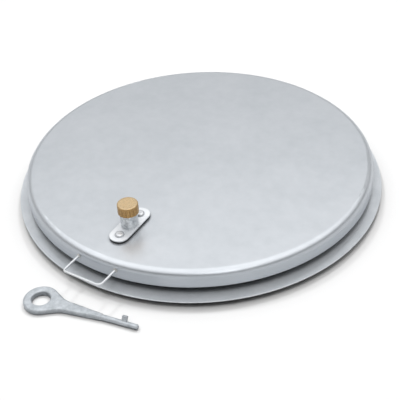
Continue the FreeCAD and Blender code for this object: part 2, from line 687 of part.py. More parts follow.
def pierce_plate(body, name, centre_hole, level):
    """Cut the tube's and the screws' holes through a plate of the lock."""
    sketch = new_sketch(body, f"{name}_holes", "XY_Plane", level)
    add_circle(sketch, centre_hole)
    for side in (-1, 1):
        add_circle(sketch, "screw_radius + screw_hole_play", "0", f"{side} * {SCREW_OFFSET}")
    pocket(body, f"{name}_openings", sketch)


def make_lock_plates():
    """Steel plate of the lock and the rubber under it."""
    plate = new_body("lock_plate")
    place(plate, along=f"-{LOCK_RADIUS}")
    stadium(plate, "plate", PLATE_LENGTH, PLATE_WIDTH, PLATE_END_ROUND, PLATE_UNDER,
            "plate_thick")
    round_edges(plate, "plate_upper_edge", "plate_edge_round", flat_at(PLATE_TOP))
    pierce_plate(plate, "plate", "tube_radius", PLATE_TOP)
    rubber = new_body("lock_plate_gasket")
    place(rubber, along=f"-{LOCK_RADIUS}")
    stadium(rubber, "rubber", f"{PLATE_LENGTH} - 2 * plate_seal_inset",
            f"{PLATE_WIDTH} - 2 * plate_seal_inset", f"{PLATE_END_ROUND} - plate_seal_inset",
            LID_TOP, "plate_seal_thick")
    pierce_plate(rubber, "rubber", "tube_radius + tube_hole_play", PLATE_UNDER)


def make_screw(side, word):
    """One screw with a domed head, through plate, rubber and lid."""
    body = new_body(f"lock_screw_{word}", kept=False)
    place(body, along=f"-{LOCK_RADIUS} + {side} * {SCREW_OFFSET}")
    foot = f"{LID_UNDER} - screw_nut_height - screw_tail"
    rise = f"{PLATE_TOP} + screw_head_height"
    revolve(body, f"screw_{word}", [
        ("0", foot), ("screw_radius", foot), ("screw_radius", PLATE_TOP),
        ("screw_head_radius", PLATE_TOP), ("screw_head_radius", rise), ("0", rise),
    ])
    round_edges(body, f"screw_dome_{word}", "screw_head_height * 0.92", flat_at(rise))
    return body


def make_lock_fasteners():
    """The two screws of the lock plate and their nuts, each pair a group of separate solids."""
    screws = [make_screw(side, word) for side, word in ((-1, "front"), (1, "back"))]
    nuts = []
    for side, word in ((-1, "front"), (1, "back")):
        nut = make_nut(f"lock_nut_{word}", "screw_nut_flats", "screw_nut_height",
                       "screw_radius + thread_play", LID_UNDER, kept=False)
        place(nut, along=f"-{LOCK_RADIUS} + {side} * {SCREW_OFFSET}")
        nuts.append(nut)
    group("lock_plate_screws", screws)
    group("lock_plate_nuts", nuts)


def make_lock_tube():
    """Pipe that carries the lock, through plate and lid."""
    body = ring("lock_tube", TUBE_BORE, "tube_radius", TUBE_FOOT, TUBE_TOP)
    place(body, along=f"-{LOCK_RADIUS}")


def make_key_guide():
    """Disc in the tube with the keyhole: a round hole with a slot for the bit."""
    body = new_body("key_guide_disc")
    place(body, along=f"-{LOCK_RADIUS}")
    disc = new_sketch(body, "guide_circle", "XY_Plane", f"{GUIDE_TOP} - guide_thick")
    add_circle(disc, TUBE_BORE)
    pad(body, "guide_disc", disc, "guide_thick")
    hole = new_sketch(body, "guide_hole_circle", "XY_Plane", GUIDE_TOP)
    add_circle(hole, KEY_HOLE_RADIUS)
    pocket(body, "guide_hole", hole)
    cut_bit_slot(body, "guide_slot", GUIDE_TOP, "2 * tube_radius", None)


def cut_bit_slot(body, name, level, reach, depth):
    """Cut a slot for the key's bit, from the axis out to a radius."""
    half = "(bit_thick / 2 + bit_play)"
    slot = new_sketch(body, f"{name}_outline", "XY_Plane", level)
    add_outline(slot, [("0", f"-{half}"), (reach, f"-{half}"), (reach, half), ("0", half)])
    pocket(body, name, slot, depth)


def make_bush():
    """Bearing bush in the foot of the tube."""
    body = ring("spindle_bush", "spindle_radius + spindle_play", TUBE_BORE, TUBE_FOOT, BUSH_TOP)
    place(body, along=f"-{LOCK_RADIUS}")


def make_spindle():
    """Lock spindle: driver head for the key, bearing, square for the latch and stud."""
    body = new_body("lock_spindle")
    place(body, along=f"-{LOCK_RADIUS}")
    seat = f"({BUSH_TOP} + spindle_end_play)"
    groove_top = f"({TUBE_FOOT} - spindle_end_play)"
    groove_foot = f"({TUBE_FOOT} - spindle_end_play - ring_thick)"
    stud_foot = f"({NUT_TOP} - stud_nut_height - stud_tail)"
    square_corner = "latch_square / 2"
    revolve(body, "spindle_turning", [
        ("0", DRIVER_TOP), (DRIVER_RADIUS, DRIVER_TOP), (DRIVER_RADIUS, seat),
        ("spindle_radius", seat), ("spindle_radius", groove_top),
        ("spindle_radius - ring_groove", groove_top), ("spindle_radius - ring_groove", groove_foot),
        ("spindle_radius", groove_foot), ("spindle_radius", LATCH_TOP),
        ("stud_radius", LATCH_TOP), ("stud_radius", stud_foot), ("0", stud_foot),
    ])
    square = new_sketch(body, "square_outline", "XY_Plane", LATCH_UNDER)
    add_outline(square, [
        (f"-{square_corner}", f"-{square_corner}"), (square_corner, f"-{square_corner}"),
        (square_corner, square_corner), (f"-{square_corner}", square_corner),
    ])
    pad(body, "latch_square_block", square, "latch_thick")
    bore = new_sketch(body, "tip_bore_circle", "XY_Plane", DRIVER_TOP)
    add_circle(bore, KEY_HOLE_RADIUS)
    pocket(body, "tip_bore", bore, "driver_bore_depth")
    cut_bit_slot(body, "driver_slot", DRIVER_TOP, f"2 * {DRIVER_RADIUS}", "driver_slot_depth")


def make_spindle_ring():
    """Retaining ring that keeps the spindle in its bush."""
    top = f"({TUBE_FOOT} - spindle_end_play)"
    body = ring("spindle_ring", "spindle_radius - ring_groove", "spindle_radius + ring_rim",
                f"({top} - ring_thick)", top)
    place(body, along=f"-{LOCK_RADIUS}")
    mouth = new_sketch(body, "ring_mouth_outline", "XY_Plane", top)
    half = "spindle_radius / 3"
    far = "2 * spindle_radius"
    add_outline(mouth, [(f"-{far}", f"-{half}"), ("0", f"-{half}"), ("0", half), (f"-{far}", half)])
    pocket(body, "ring_mouth", mouth)


def make_latch():
    """Latch arm on the spindle's square; at rest it points along the lid's edge."""
    body = new_body("latch_arm")
    place(body, along=f"-{LOCK_RADIUS}")
    arm = new_sketch(body, "latch_outline", "XY_Plane", LATCH_UNDER)
    half = "latch_width / 2"
    add_outline(arm, [
        ("0", f"-{half}"), (LATCH_LENGTH, f"-{half}"), (LATCH_LENGTH, half), ("0", half),
    ])
    pad(body, "latch_bar", arm, "latch_thick")
    round_edges(body, "latch_tip", "latch_tip_round",
                lambda box: near(box.XMin, LATCH_LENGTH) and box.YLength < 1e-6)
    hub = new_sketch(body, "hub_circle", "XY_Plane", LATCH_UNDER)
    add_circle(hub, "latch_hub_radius")
    pad(body, "latch_hub", hub, "latch_thick")
    hole = new_sketch(body, "square_hole_outline", "XY_Plane", LATCH_TOP)
    corner = "(latch_square / 2 + latch_square_play)"
    add_outline(hole, [
        (f"-{corner}", f"-{corner}"), (corner, f"-{corner}"), (corner, corner),
        (f"-{corner}", corner),
    ])
    pocket(body, "square_hole", hole)


def make_latch_fasteners():
    """Washer and nut on the stud under the latch."""
    washer = ring("latch_washer", "stud_radius + thread_play", "stud_washer_radius", NUT_TOP,
                  LATCH_UNDER)
    place(washer, along=f"-{LOCK_RADIUS}")
    nut = make_nut("latch_nut", "stud_nut_flats", "stud_nut_height", "stud_radius + thread_play",
                   NUT_TOP)
    place(nut, along=f"-{LOCK_RADIUS}")


def make_cap():
    """Brass cap screwed on the tube, with finger grooves and a plain face."""
    body = new_body("lock_cap")
    place(body, along=f"-{LOCK_RADIUS}")
    bore = "(tube_radius + cap_bore_play)"
    ceiling = f"({CAP_TOP} - cap_top)"
    revolve(body, "cap_turning", [
        ("0", ceiling), (bore, ceiling), (bore, CAP_FOOT), (CAP_RADIUS, CAP_FOOT),
        (CAP_RADIUS, CAP_TOP), ("0", CAP_TOP),
    ])
    round_edges(body, "cap_edge", "cap_top_round",
                lambda box: flat_at(CAP_TOP)(box) and near(box.XMax, CAP_RADIUS))
    ring_groove = new_sketch(body, "face_groove_rings", "XY_Plane", CAP_TOP)
    add_circle(ring_groove, f"{CAP_FACE_RADIUS} + cap_face_groove")
    add_circle(ring_groove, f"{CAP_FACE_RADIUS} - cap_face_groove")
    pocket(body, "face_groove", ring_groove, "cap_face_groove")
    flute = new_sketch(body, "flute_circle", "XY_Plane", f"{CAP_FOOT} + cap_flute_rise")
    add_circle(flute, "cap_flute_radius", f"{CAP_RADIUS} + cap_flute_radius - cap_flute_depth")
    groove = pocket(body, "flute", flute)
    repeat_round(body, "flutes", groove, "cap_flute_count")


def make_cap_seal():
    """Rubber disc between the cap and the mouth of the tube."""
    body = new_body("cap_seal")
    place(body, along=f"-{LOCK_RADIUS}")
    sketch = new_sketch(body, "cap_seal_circle", "XY_Plane", TUBE_TOP)
    add_circle(sketch, "tube_radius - cap_bore_play")
    pad(body, "cap_seal_disc", sketch, "cap_seal_thick")


# Handle


def add_line(sketch, start, end):
    """Add a line between two places given by formulas, and hold both ends."""
    ends = [Vector(number(across), number(up), 0) for across, up in (start, end)]
    row = sketch.addGeometry(Part.LineSegment(*ends))
    fix_point(sketch, row, 1, *start)
    fix_point(sketch, row, 2, *end)
    return row


def add_bent_path(sketch, corners):
    """Add an open path of lines along the axes, with an arc of given radius at each corner."""
    values = [Vector(number(across), number(up), 0) for across, up, _ in corners]
    runs = [(after - before).normalize() for before, after in zip(values, values[1:])]
    start = corners[0][:2]
    lines = []
    arcs = []
    for index in range(1, len(corners) - 1):
        across, up, radius = corners[index]
        into, out = runs[index - 1], runs[index]
        leave = (f"{across} + {out.x} * {radius}", f"{up} + {out.y} * {radius}")
        meet = (f"{across} - ({into.x}) * {radius}", f"{up} - ({into.y}) * {radius}")
        lines.append(add_line(sketch, start, meet))
        arcs.append((index, meet, leave))
        start = leave
    lines.append(add_line(sketch, start, corners[-1][:2]))
    for (index, meet, leave), before, after in zip(arcs, lines, lines[1:]):
        across, up, radius = corners[index]
        into, out = runs[index - 1], runs[index]
        centre = values[index] + (out - into) * number(radius)
        middle = centre + (values[index] - centre).normalize() * number(radius)
        first = Vector(number(meet[0]), number(meet[1]), 0)
        last = Vector(number(leave[0]), number(leave[1]), 0)
        row = sketch.addGeometry(Part.Arc(first, middle, last))
        begins = (sketch.Geometry[row].StartPoint - first).Length < 1e-3
        sketch.addConstraint(Sketcher.Constraint("Coincident", row, 1 if begins else 2, before, 2))
        sketch.addConstraint(Sketcher.Constraint("Coincident", row, 2 if begins else 1, after, 1))
        size = sketch.addConstraint(Sketcher.Constraint("Radius", row, number(radius)))
        sketch.setExpression(f"Constraints[{size}]", bound(radius))


def make_handle():
    """Lifting handle of one bent rod, level, with its two feet on the lid's skirt."""
    body = new_body("lift_handle")
    place(body, up=HANDLE_Z)
    turn(body, Vector(0, 0, -1), "handle_turn")
    inside = f"-({HANDLE_FOOT} - 2 * handle_rod_radius)"
    path = new_sketch(body, "handle_path", "XY_Plane")
    add_bent_path(path, [
        ("-handle_half_width", inside, None),
        ("-handle_half_width", f"-{HANDLE_FRONT}", "handle_left_bend"),
        ("handle_half_width", f"-{HANDLE_FRONT}", "handle_right_bend"),
        ("handle_half_width", inside, None),
    ])
    section = new_sketch(body, "handle_section", "XZ_Plane", f"-({inside})")
    add_circle(section, "handle_rod_radius", "-handle_half_width")
    pipe = add_feature(body, "AdditivePipe", "handle_rod", section)
    pipe.Spine = path
    path.Visibility = False
    doc.recompute()
    trim_to_skirt(body, "handle_feet", "4 * handle_rod_radius")


def trim_to_skirt(body, name, level):
    """Cut away what lies inside the lid's outer surface."""
    sketch = new_sketch(body, f"{name}_circle", "XY_Plane", level)
    add_circle(sketch, LID_RADIUS)
    pocket(body, name, sketch)


def make_handle_weld(side, word):
    """Weld round one foot of the handle."""
    body = new_body(f"handle_weld_{word}", kept=False)
    place(body, up=HANDLE_Z)
    turn(body, Vector(0, 0, -1), "handle_turn")
    middle = f"{side} * handle_half_width"
    foot = f"-{HANDLE_FOOT}"
    back = f"({foot} + 3 * handle_weld_leg)"
    rod = "handle_rod_radius"
    sketch = new_sketch(body, f"weld_outline_{word}", "XY_Plane")
    add_outline(sketch, [
        (f"{middle} + {rod}", f"{foot} - handle_weld_leg"),
        (f"{middle} + {rod} + handle_weld_leg", foot),
        (f"{middle} + {rod} + handle_weld_leg", back), (f"{middle} + {rod}", back),
    ])
    axis = sketch.addGeometry(Part.LineSegment(Vector(number(middle), number(foot), 0),
                                               Vector(number(middle), number(back), 0)), True)
    fix_point(sketch, axis, 1, middle, foot)
    fix_point(sketch, axis, 2, middle, back)
    feature = add_feature(body, "Revolution", f"weld_{word}", sketch)
    feature.ReferenceAxis = (sketch, ["Axis0"])
    feature.Angle = 360
    doc.recompute()
    trim_to_skirt(body, f"weld_foot_{word}", "4 * handle_rod_radius")
    return body


# Key


def make_key():
    """Cast key: a broad eye with a tapering neck, a round shank and a flag-shaped bit."""
    body = new_body("key")
    place(body, "key_eye_x", f"-({FLANGE_RADIUS} + key_from_flange)",
          "key_thick / 2 - collar_drop")
    turn(body, Vector(0, 0, 1), "key_turn")
    eye = new_sketch(body, "key_eye_circle", "XY_Plane")
    add_circle(eye, "key_eye_radius")
    pad(body, "key_eye", eye, "key_thick", middle=True)
    tangent = "acos(key_eye_radius / key_neck_aim)"
    near_x = f"key_eye_radius * cos({tangent})"
    near_y = f"key_eye_radius * sin({tangent})"
    waist_x = f"(key_neck_aim - (key_neck_aim - {near_x}) * key_waist_half / ({near_y}))"
    neck = new_sketch(body, "key_neck_outline", "XY_Plane")
    add_outline(neck, [
        (near_x, f"-{near_y}"), (waist_x, "-key_waist_half"),
        ("key_neck_end", "-key_shank_radius"), ("key_neck_end", "key_shank_radius"),
        (waist_x, "key_waist_half"), (near_x, near_y),
    ])
    pad(body, "key_neck", neck, "key_thick", middle=True)
    round_edges(body, "key_neck_blend", "key_neck_round",
                lambda box: box.YLength < 1e-6 and near(box.XMin, waist_x) and box.XLength < 1e-6)
    half = "key_thick / 2"
    round_edges(body, "key_soft_edges", "key_edge_round",
                lambda box: (flat_at(half)(box) or flat_at(f"-{half}")(box))
                and box.XMin < number("key_neck_end") - 1)
    hole = new_sketch(body, "key_hole_circle", "XY_Plane")
    add_circle(hole, "key_hole_radius")
    pocket(body, "key_hole", hole, "2 * key_thick", middle=True)
    round_edges(body, "key_hole_edges", "key_hole_round",
                lambda box: near(box.XLength, "2 * key_hole_radius"))
    tip_start = "key_length - key_tip_round"
    revolve(body, "key_shank", [
        ("key_neck_end - key_thick", "0"), ("key_neck_end - key_thick", "key_shank_radius - 0.02"),
        ("key_neck_end", "key_shank_radius - 0.02"), (tip_start, "key_tip_radius"),
        ("key_length", "key_tip_radius - key_tip_round"), ("key_length", "0"),
    ], plane="XY_Plane", axis="H_Axis")
    bit = new_sketch(body, "key_bit_outline", "YZ_Plane",
                     "key_length - bit_from_tip - bit_width / 2")
    add_outline(bit, [
        turned("0", "-bit_thick / 2"), turned(BIT_REACH, "-bit_thick / 2"),
        turned(BIT_REACH, "bit_thick / 2"), turned("0", "bit_thick / 2"),
    ])
    pad(body, "key_bit", bit, "bit_width")
    mark = new_sketch(body, "casting_mark_circle", "XY_Plane", half)
    ring_middle = "(key_eye_radius + key_hole_radius) / 2"
    add_circle(mark, "key_mark_radius", f"{ring_middle} * cos(key_mark_angle)",
               f"{ring_middle} * sin(key_mark_angle)")
    pocket(body, "casting_mark", mark, "key_mark_depth")


def turned(out, side):
    """A place on the key's bit, seen along the shank and turned by the bit's angle."""
    return (f"({out}) * cos(bit_turn) - ({side}) * sin(bit_turn)",
            f"({out}) * sin(bit_turn) + ({side}) * cos(bit_turn)")


def check_document():
    """Stop if anything in the document failed or a sub-part has no sound solid."""
    for item in doc.Objects:
        if "Invalid" in item.State or "Error" in item.State:
            raise RuntimeError(f"{item.Label} failed: {item.State}")
    for node in nodes:
        if node.Shape.isNull() or not node.Shape.isValid() or not node.Shape.Solids:
            raise RuntimeError(f"{node.Label} has no sound shape")


def write_parts():
    """Write one STEP file per sub-part."""
    os.makedirs("parts", exist_ok=True)
    for node in nodes:
        node.Shape.exportStep(f"parts/{node.Label}.step")
        print(f"{node.Label}: {len(node.Shape.Solids)} solid, {node.Shape.Volume:.0f} mm3")


def main():
    """Build the well cover."""
    fill_sheet()
    make_flange()
    make_collar()
    make_weld()
    make_keeper()
    for side, word in ((-1, "left"), (1, "right")):
        make_hinge_lug(side, word)
        make_hinge_arm(side, word)
        make_hinge_pin(side, word)
        make_hinge_clip(side, word)
        make_rail(side, word)
    make_lid_shell()
    make_seal_channel()
    make_seal()
    make_cross_rail()
    make_lock_plates()
    make_lock_fasteners()
    make_lock_tube()
    make_key_guide()
    make_bush()
    make_spindle()
    make_spindle_ring()
    make_latch()
    make_latch_fasteners()
    make_cap()
    make_cap_seal()
    make_handle()
    group("handle_welds", [make_handle_weld(-1, "left"), make_handle_weld(1, "right")])
    make_key()
    doc.recompute()
    check_document()
    write_parts()


main()
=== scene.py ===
import logging
import math
from dataclasses import dataclass
from enum import Enum

import bpy
from mathutils import Matrix, Vector


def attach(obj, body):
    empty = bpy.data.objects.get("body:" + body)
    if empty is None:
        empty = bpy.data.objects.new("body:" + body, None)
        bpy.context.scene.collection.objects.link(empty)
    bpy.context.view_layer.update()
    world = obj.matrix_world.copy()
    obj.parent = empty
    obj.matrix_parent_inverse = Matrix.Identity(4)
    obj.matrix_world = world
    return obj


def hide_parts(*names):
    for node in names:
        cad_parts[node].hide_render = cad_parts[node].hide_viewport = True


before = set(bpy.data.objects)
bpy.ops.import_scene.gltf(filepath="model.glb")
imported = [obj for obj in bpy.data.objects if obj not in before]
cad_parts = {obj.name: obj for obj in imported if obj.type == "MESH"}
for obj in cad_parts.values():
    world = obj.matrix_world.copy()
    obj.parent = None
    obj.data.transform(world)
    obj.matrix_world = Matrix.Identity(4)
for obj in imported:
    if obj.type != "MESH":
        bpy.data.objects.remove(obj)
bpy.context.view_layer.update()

log = logging.getLogger("well_cover")
MM = 0.001

Material = bpy.types.Material
NodeTree = bpy.types.NodeTree
Node = bpy.types.Node
Socket = bpy.types.NodeSocket
Object = bpy.types.Object
Place = tuple[float, float, float]


class Body(Enum):
    """The rigid bodies that carry new pieces, as the frame names them."""

    FRAME = "frame"
    LID = "lid"


class Lay(Enum):
    """How the tool marks of a metal run, as the stretch of their pattern. Rings have none."""

    EVEN = (1.0, 1.0, 1.0)
    LEVEL = (1.0, 1.0, 12.0)
    ROUND = (0.0, 0.0, 0.0)


class Stamp(Enum):
    """The small form that is set down again and again along a path."""

    RIPPLE = "ripple"
    SPOT = "spot"


class Reach(Enum):
    """Where a lamp's light shows, as the kind of ray that misses it."""

    MATT = "visible_glossy"
    SHEEN = "visible_diffuse"


# Small tools


def linear(hex_colour: str) -> tuple[float, float, float, float]:
    """Turn an sRGB hex colour into linear light.

    Args:
        hex_colour: six hex digits after a hash sign.

    Returns:
        Red, green, blue and an alpha of one.
    """
    parts = [int(hex_colour[i:i + 2], 16) / 255 for i in (1, 3, 5)]
    light = [p / 12.92 if p <= 0.04045 else ((p + 0.055) / 1.055) ** 2.4 for p in parts]
    return (light[0], light[1], light[2], 1.0)


def metres(place_mm: Place) -> Vector:
    """Turn a place in millimetres into metres."""
    return Vector(place_mm) * MM


def add_node(tree: NodeTree, kind: str, values: dict[str | int, object] | None = None,
             links: dict[str | int, Socket] | None = None, **settings: object) -> Node:
    """Add a node with its settings, socket values and incoming links.

    Args:
        tree: the tree that gets the node.
        kind: the node's type name.
        values: socket name or number to its value.
        links: socket name or number to the output that feeds it.
        settings: attributes of the node itself.

    Returns:
        The new node.
    """
    node = tree.nodes.new(kind)
    for name, value in settings.items():
        setattr(node, name, value)
    for socket, value in (values or {}).items():
        node.inputs[socket].default_value = value
    for socket, source in (links or {}).items():
        tree.links.new(source, node.inputs[socket])
    return node


def start_material(name: str) -> tuple[Material, NodeTree]:
    """Make an empty node material.

    Args:
        name: the material's name.

    Returns:
        The material and its cleared tree.
    """
    material = bpy.data.materials.new(name)
    material.use_nodes = True
    material.node_tree.nodes.clear()
    return material, material.node_tree


def add_object(name: str, points: list[Vector], edges: list[tuple[int, int]],
               faces: list[tuple[int, ...]]) -> Object:
    """Make a mesh object at the origin and put it into the scene.

    Args:
        name: the object's name.
        points: its points in metres.
        edges: pairs of points, where it has no faces.
        faces: rings of points.

    Returns:
        The object.
    """
    data = bpy.data.meshes.new(name)
    data.from_pydata(points, edges, faces)
    made = bpy.data.objects.new(name, data)
    bpy.context.scene.collection.objects.link(made)
    return made


# Finishes

# A ring wave of this scale has one ring to the metre
RING_SCALE = math.pi / 10
# A noise has most of its values between these
NOISE_LOW, NOISE_HIGH = 0.3, 0.7
# How far a rounded normal agrees with the true one, where the painted edge highlight starts and
# where it is full
WEAR_STARTS, WEAR_FULL = 0.98, 0.8
# How open a place is, where the painted shade is darkest and where there is none
DUST_FULL, DUST_ENDS = 0.15, 0.85
# How far a face looks up, where the painted shade of the sides starts and where it is full
SIDE_STARTS, SIDE_FULL = 0.9, 0.2


@dataclass(frozen=True)
class MetalFinish:
    """A metal surface: two clouded shades, tool marks, painted edge highlights, painted shade
    on sides and in corners.
    """

    name: str
    light: str
    dark: str
    roughness: float
    roughness_spread: float
    cloud_mm: float
    grain_mm: float
    lay: Lay = Lay.EVEN
    axis_mm: Place = (0.0, 0.0, 0.0)
    metallic: float = 1.0
    grain_share: float = 0.25
    bump: float = 0.1
    bump_mm: float = 0.05
    # Painted shade on faces that don't look up, and on brass tarnish as well
    side_tint: str = "#FFFFFF"
    # Painted highlight along the edges
    wear: str = "#F4F5F6"
    wear_mm: float = 1.2
    wear_share: float = 0.6
    # Painted shade in sheltered corners, from ambient occlusion
    dust: str = "#9A9C9E"
    dust_mm: float = 45.0

    def add_marks(self, tree: NodeTree, place: Socket) -> Node:
        """Add the pattern of the tool marks.

        Args:
            tree: the material's tree.
            place: the place as seen from the finish's axis.

        Returns:
            The texture node.
        """
        if self.lay is Lay.ROUND:
            return add_node(tree, "ShaderNodeTexWave",
                            {"Scale": RING_SCALE / (self.grain_mm * MM), "Distortion": 0.6,
                             "Detail": 2.0, "Detail Scale": 1.5}, {"Vector": place},
                            wave_type="RINGS", rings_direction="Z")
        stretched = add_node(tree, "ShaderNodeVectorMath", {1: self.lay.value}, {0: place},
                             operation="MULTIPLY")
        return add_node(tree, "ShaderNodeTexNoise",
                        {"Scale": 1 / (self.grain_mm * MM), "Detail": 3.0, "Roughness": 0.55},
                        {"Vector": stretched.outputs["Vector"]})

    def add_wear(self, tree: NodeTree) -> Socket:
        """Find the edges, where a highlight is painted in.

        Args:
            tree: the material's tree.

        Returns:
            The share of painted highlight, from 0 on the flats to the finish's own share at an
            edge.
        """
        rounded = add_node(tree, "ShaderNodeBevel", {"Radius": self.wear_mm * MM}, samples=4)
        true = add_node(tree, "ShaderNodeNewGeometry")
        turned = add_node(tree, "ShaderNodeVectorMath", None,
                          {0: rounded.outputs["Normal"], 1: true.outputs["Normal"]},
                          operation="DOT_PRODUCT")
        share = add_node(tree, "ShaderNodeMapRange",
                         {"From Min": WEAR_STARTS, "From Max": WEAR_FULL,
                          "To Max": self.wear_share},
                         {"Value": turned.outputs["Value"]})
        return share.outputs["Result"]

    def add_dust(self, tree: NodeTree, clean: Socket) -> Socket:
        """Paint shade into the sheltered places, darker where ambient occlusion finds more
        cover.

        Args:
            tree: the material's tree.
            clean: the clean surface's colour.

        Returns:
            The colour with its painted shade.
        """
        shelter = add_node(tree, "ShaderNodeAmbientOcclusion",
                           {"Distance": self.dust_mm * MM}, samples=8)
        bare = add_node(tree, "ShaderNodeMapRange",
                        {"From Min": DUST_FULL, "From Max": DUST_ENDS},
                        {"Value": shelter.outputs["AO"]})
        film = add_node(tree, "ShaderNodeMix",
                        {"A": linear(self.dust), "B": linear("#FFFFFF")},
                        {"Factor": bare.outputs["Result"]}, data_type="RGBA")
        dulled = add_node(tree, "ShaderNodeMix", {"Factor": 1.0},
                          {"A": clean, "B": film.outputs["Result"]},
                          data_type="RGBA", blend_type="MULTIPLY")
        return dulled.outputs["Result"]

    def build(self) -> Material:
        """Build the material's nodes.

        Returns:
            The finished material.
        """
        material, tree = start_material(self.name)
        start = add_node(tree, "ShaderNodeTexCoord")
        place = add_node(tree, "ShaderNodeVectorMath", {1: metres(self.axis_mm)},
                         {0: start.outputs["Object"]}, operation="SUBTRACT")
        cloud = add_node(tree, "ShaderNodeTexNoise",
                         {"Scale": 1 / (self.cloud_mm * MM), "Detail": 4.0, "Roughness": 0.6},
                         {"Vector": place.outputs["Vector"]})
        marks = self.add_marks(tree, place.outputs["Vector"])
        both = add_node(tree, "ShaderNodeMix", {"Factor": self.grain_share},
                        {"A": cloud.outputs["Fac"], "B": marks.outputs["Fac"]})
        shade = add_node(tree, "ShaderNodeMapRange",
                         {"From Min": NOISE_LOW, "From Max": NOISE_HIGH},
                         {"Value": both.outputs["Result"]})
        colour = add_node(tree, "ShaderNodeMix",
                          {"A": linear(self.dark), "B": linear(self.light)},
                          {"Factor": shade.outputs["Result"]}, data_type="RGBA")
        # Faces that don't look up are tinted with painted shade
        facing = add_node(tree, "ShaderNodeSeparateXYZ", None,
                          {"Vector": start.outputs["Normal"]})
        sideways = add_node(tree, "ShaderNodeMapRange",
                            {"From Min": SIDE_STARTS, "From Max": SIDE_FULL},
                            {"Value": facing.outputs["Z"]})
        tinted = add_node(tree, "ShaderNodeMix", {"B": linear(self.side_tint)},
                          {"Factor": sideways.outputs["Result"],
                           "A": colour.outputs["Result"]},
                          data_type="RGBA", blend_type="MULTIPLY")
        # Edges get a painted highlight, sheltered places painted shade
        worn = add_node(tree, "ShaderNodeMix", {"B": linear(self.wear)},
                        {"Factor": self.add_wear(tree),
                         "A": self.add_dust(tree, tinted.outputs["Result"])},
                        data_type="RGBA")
        gloss = add_node(tree, "ShaderNodeMapRange",
                         {"From Min": NOISE_LOW, "From Max": NOISE_HIGH,
                          "To Min": self.roughness + self.roughness_spread,
                          "To Max": self.roughness - self.roughness_spread},
                         {"Value": both.outputs["Result"]})
        relief = add_node(tree, "ShaderNodeBump",
                          {"Strength": self.bump, "Distance": self.bump_mm * MM},
                          {"Height": marks.outputs["Fac"]})
        shader = add_node(tree, "ShaderNodeBsdfPrincipled", {"Metallic": self.metallic},
                          {"Base Color": worn.outputs["Result"],
                           "Roughness": gloss.outputs["Result"],
                           "Normal": relief.outputs["Normal"]})
        add_node(tree, "ShaderNodeOutputMaterial", None, {"Surface": shader.outputs["BSDF"]})
        return material


@dataclass(frozen=True)
class RubberFinish:
    """Moulded black rubber: nearly black and dull, with a faint dusty bloom."""

    name: str
    dark: str
    bloom: str
    roughness: float = 0.62
    bloom_mm: float = 11.0
    bump: float = 0.25
    bump_mm: float = 0.1

    def build(self) -> Material:
        """Build the material's nodes.

        Returns:
            The finished material.
        """
        material, tree = start_material(self.name)
        place = add_node(tree, "ShaderNodeTexCoord")
        patches = add_node(tree, "ShaderNodeTexNoise",
                           {"Scale": 1 / (self.bloom_mm * MM), "Detail": 5.0},
                           {"Vector": place.outputs["Object"]})
        colour = add_node(tree, "ShaderNodeMix",
                          {"A": linear(self.dark), "B": linear(self.bloom)},
                          {"Factor": patches.outputs["Fac"]}, data_type="RGBA")
        relief = add_node(tree, "ShaderNodeBump",
                          {"Strength": self.bump, "Distance": self.bump_mm * MM},
                          {"Height": patches.outputs["Fac"]})
        shader = add_node(tree, "ShaderNodeBsdfPrincipled",
                          {"Roughness": self.roughness, "IOR": 1.52},
                          {"Base Color": colour.outputs["Result"],
                           "Normal": relief.outputs["Normal"]})
        add_node(tree, "ShaderNodeOutputMaterial", None, {"Surface": shader.outputs["BSDF"]})
        return material


Finish = MetalFinish | RubberFinish
LOCK_AXIS: Place = (0.0, -340.0, 0.0)

# The marks of brushing, turning and drawing are about a tenth of a millimetre wide on the real
# metal. Here they are about ten times as coarse, because finer ones wouldn't show

# Cold rolled stainless sheet, pickled: an even satin grey that scatters light widely, with
# soft clouds on the flats, level rolling marks on the walls, and painted shade that makes the
# walls a shade darker
PICKLED_SHEET = MetalFinish("pickled_stainless_sheet", "#D1D5DA", "#C4C9CE", 0.38, 0.03,
                            cloud_mm=140, grain_mm=30, lay=Lay.LEVEL, metallic=0.78,
                            grain_share=0.35, bump=0.05, side_tint="#E3E5E7")
# The frame's sheet, pickled in the bath after welding: matter than the lid, and with dark
# painted shade where the lid shelters it
MATT_SHEET = MetalFinish("bath_pickled_sheet", "#D3D7DB", "#C2C7CC", 0.5, 0.03,
                         cloud_mm=110, grain_mm=24, lay=Lay.LEVEL, metallic=0.4,
                         grain_share=0.35, bump=0.05, dust="#303234", dust_mm=70)
# Thicker plate, cut and brushed: lighter than the lid that it sits on, with a strong painted
# highlight on its cut edge
BRUSHED_PLATE = MetalFinish("brushed_stainless_plate", "#E8EBEE", "#D8DBDF", 0.36, 0.04,
                            cloud_mm=30, grain_mm=1.5, metallic=0.45, wear_share=0.9,
                            dust="#D2D4D6")
# Turned and threaded stainless: brighter than sheet, with small clouds and tight tool marks
TURNED_STEEL = MetalFinish("turned_stainless", "#E6E8EA", "#C9CCD0", 0.3, 0.05,
                           cloud_mm=12, grain_mm=0.8, metallic=0.8)
# Round bar, drawn and polished by hands: the brightest of the steels
DRAWN_ROD = MetalFinish("drawn_round_bar", "#E8EAEC", "#D3D7DA", 0.3, 0.05,
                        cloud_mm=18, grain_mm=1.2, metallic=0.6)
# Zinc coated pipe: pale grey, mottled by the spangle of its zinc
COATED_PIPE = MetalFinish("zinc_coated_pipe", "#FAFBFB", "#9FA4A9", 0.38, 0.08,
                          cloud_mm=8, grain_mm=1.5, metallic=0.85, bump=0.2, dust="#E6E8EA")
# Hot dip galvanised casting: mottled pale grey, slightly pitted
COATED_CASTING = MetalFinish("galvanised_casting", "#C8CDD2", "#9FA5AA", 0.5, 0.08,
                             cloud_mm=14, grain_mm=2, metallic=0.5, bump=0.4, bump_mm=0.2)
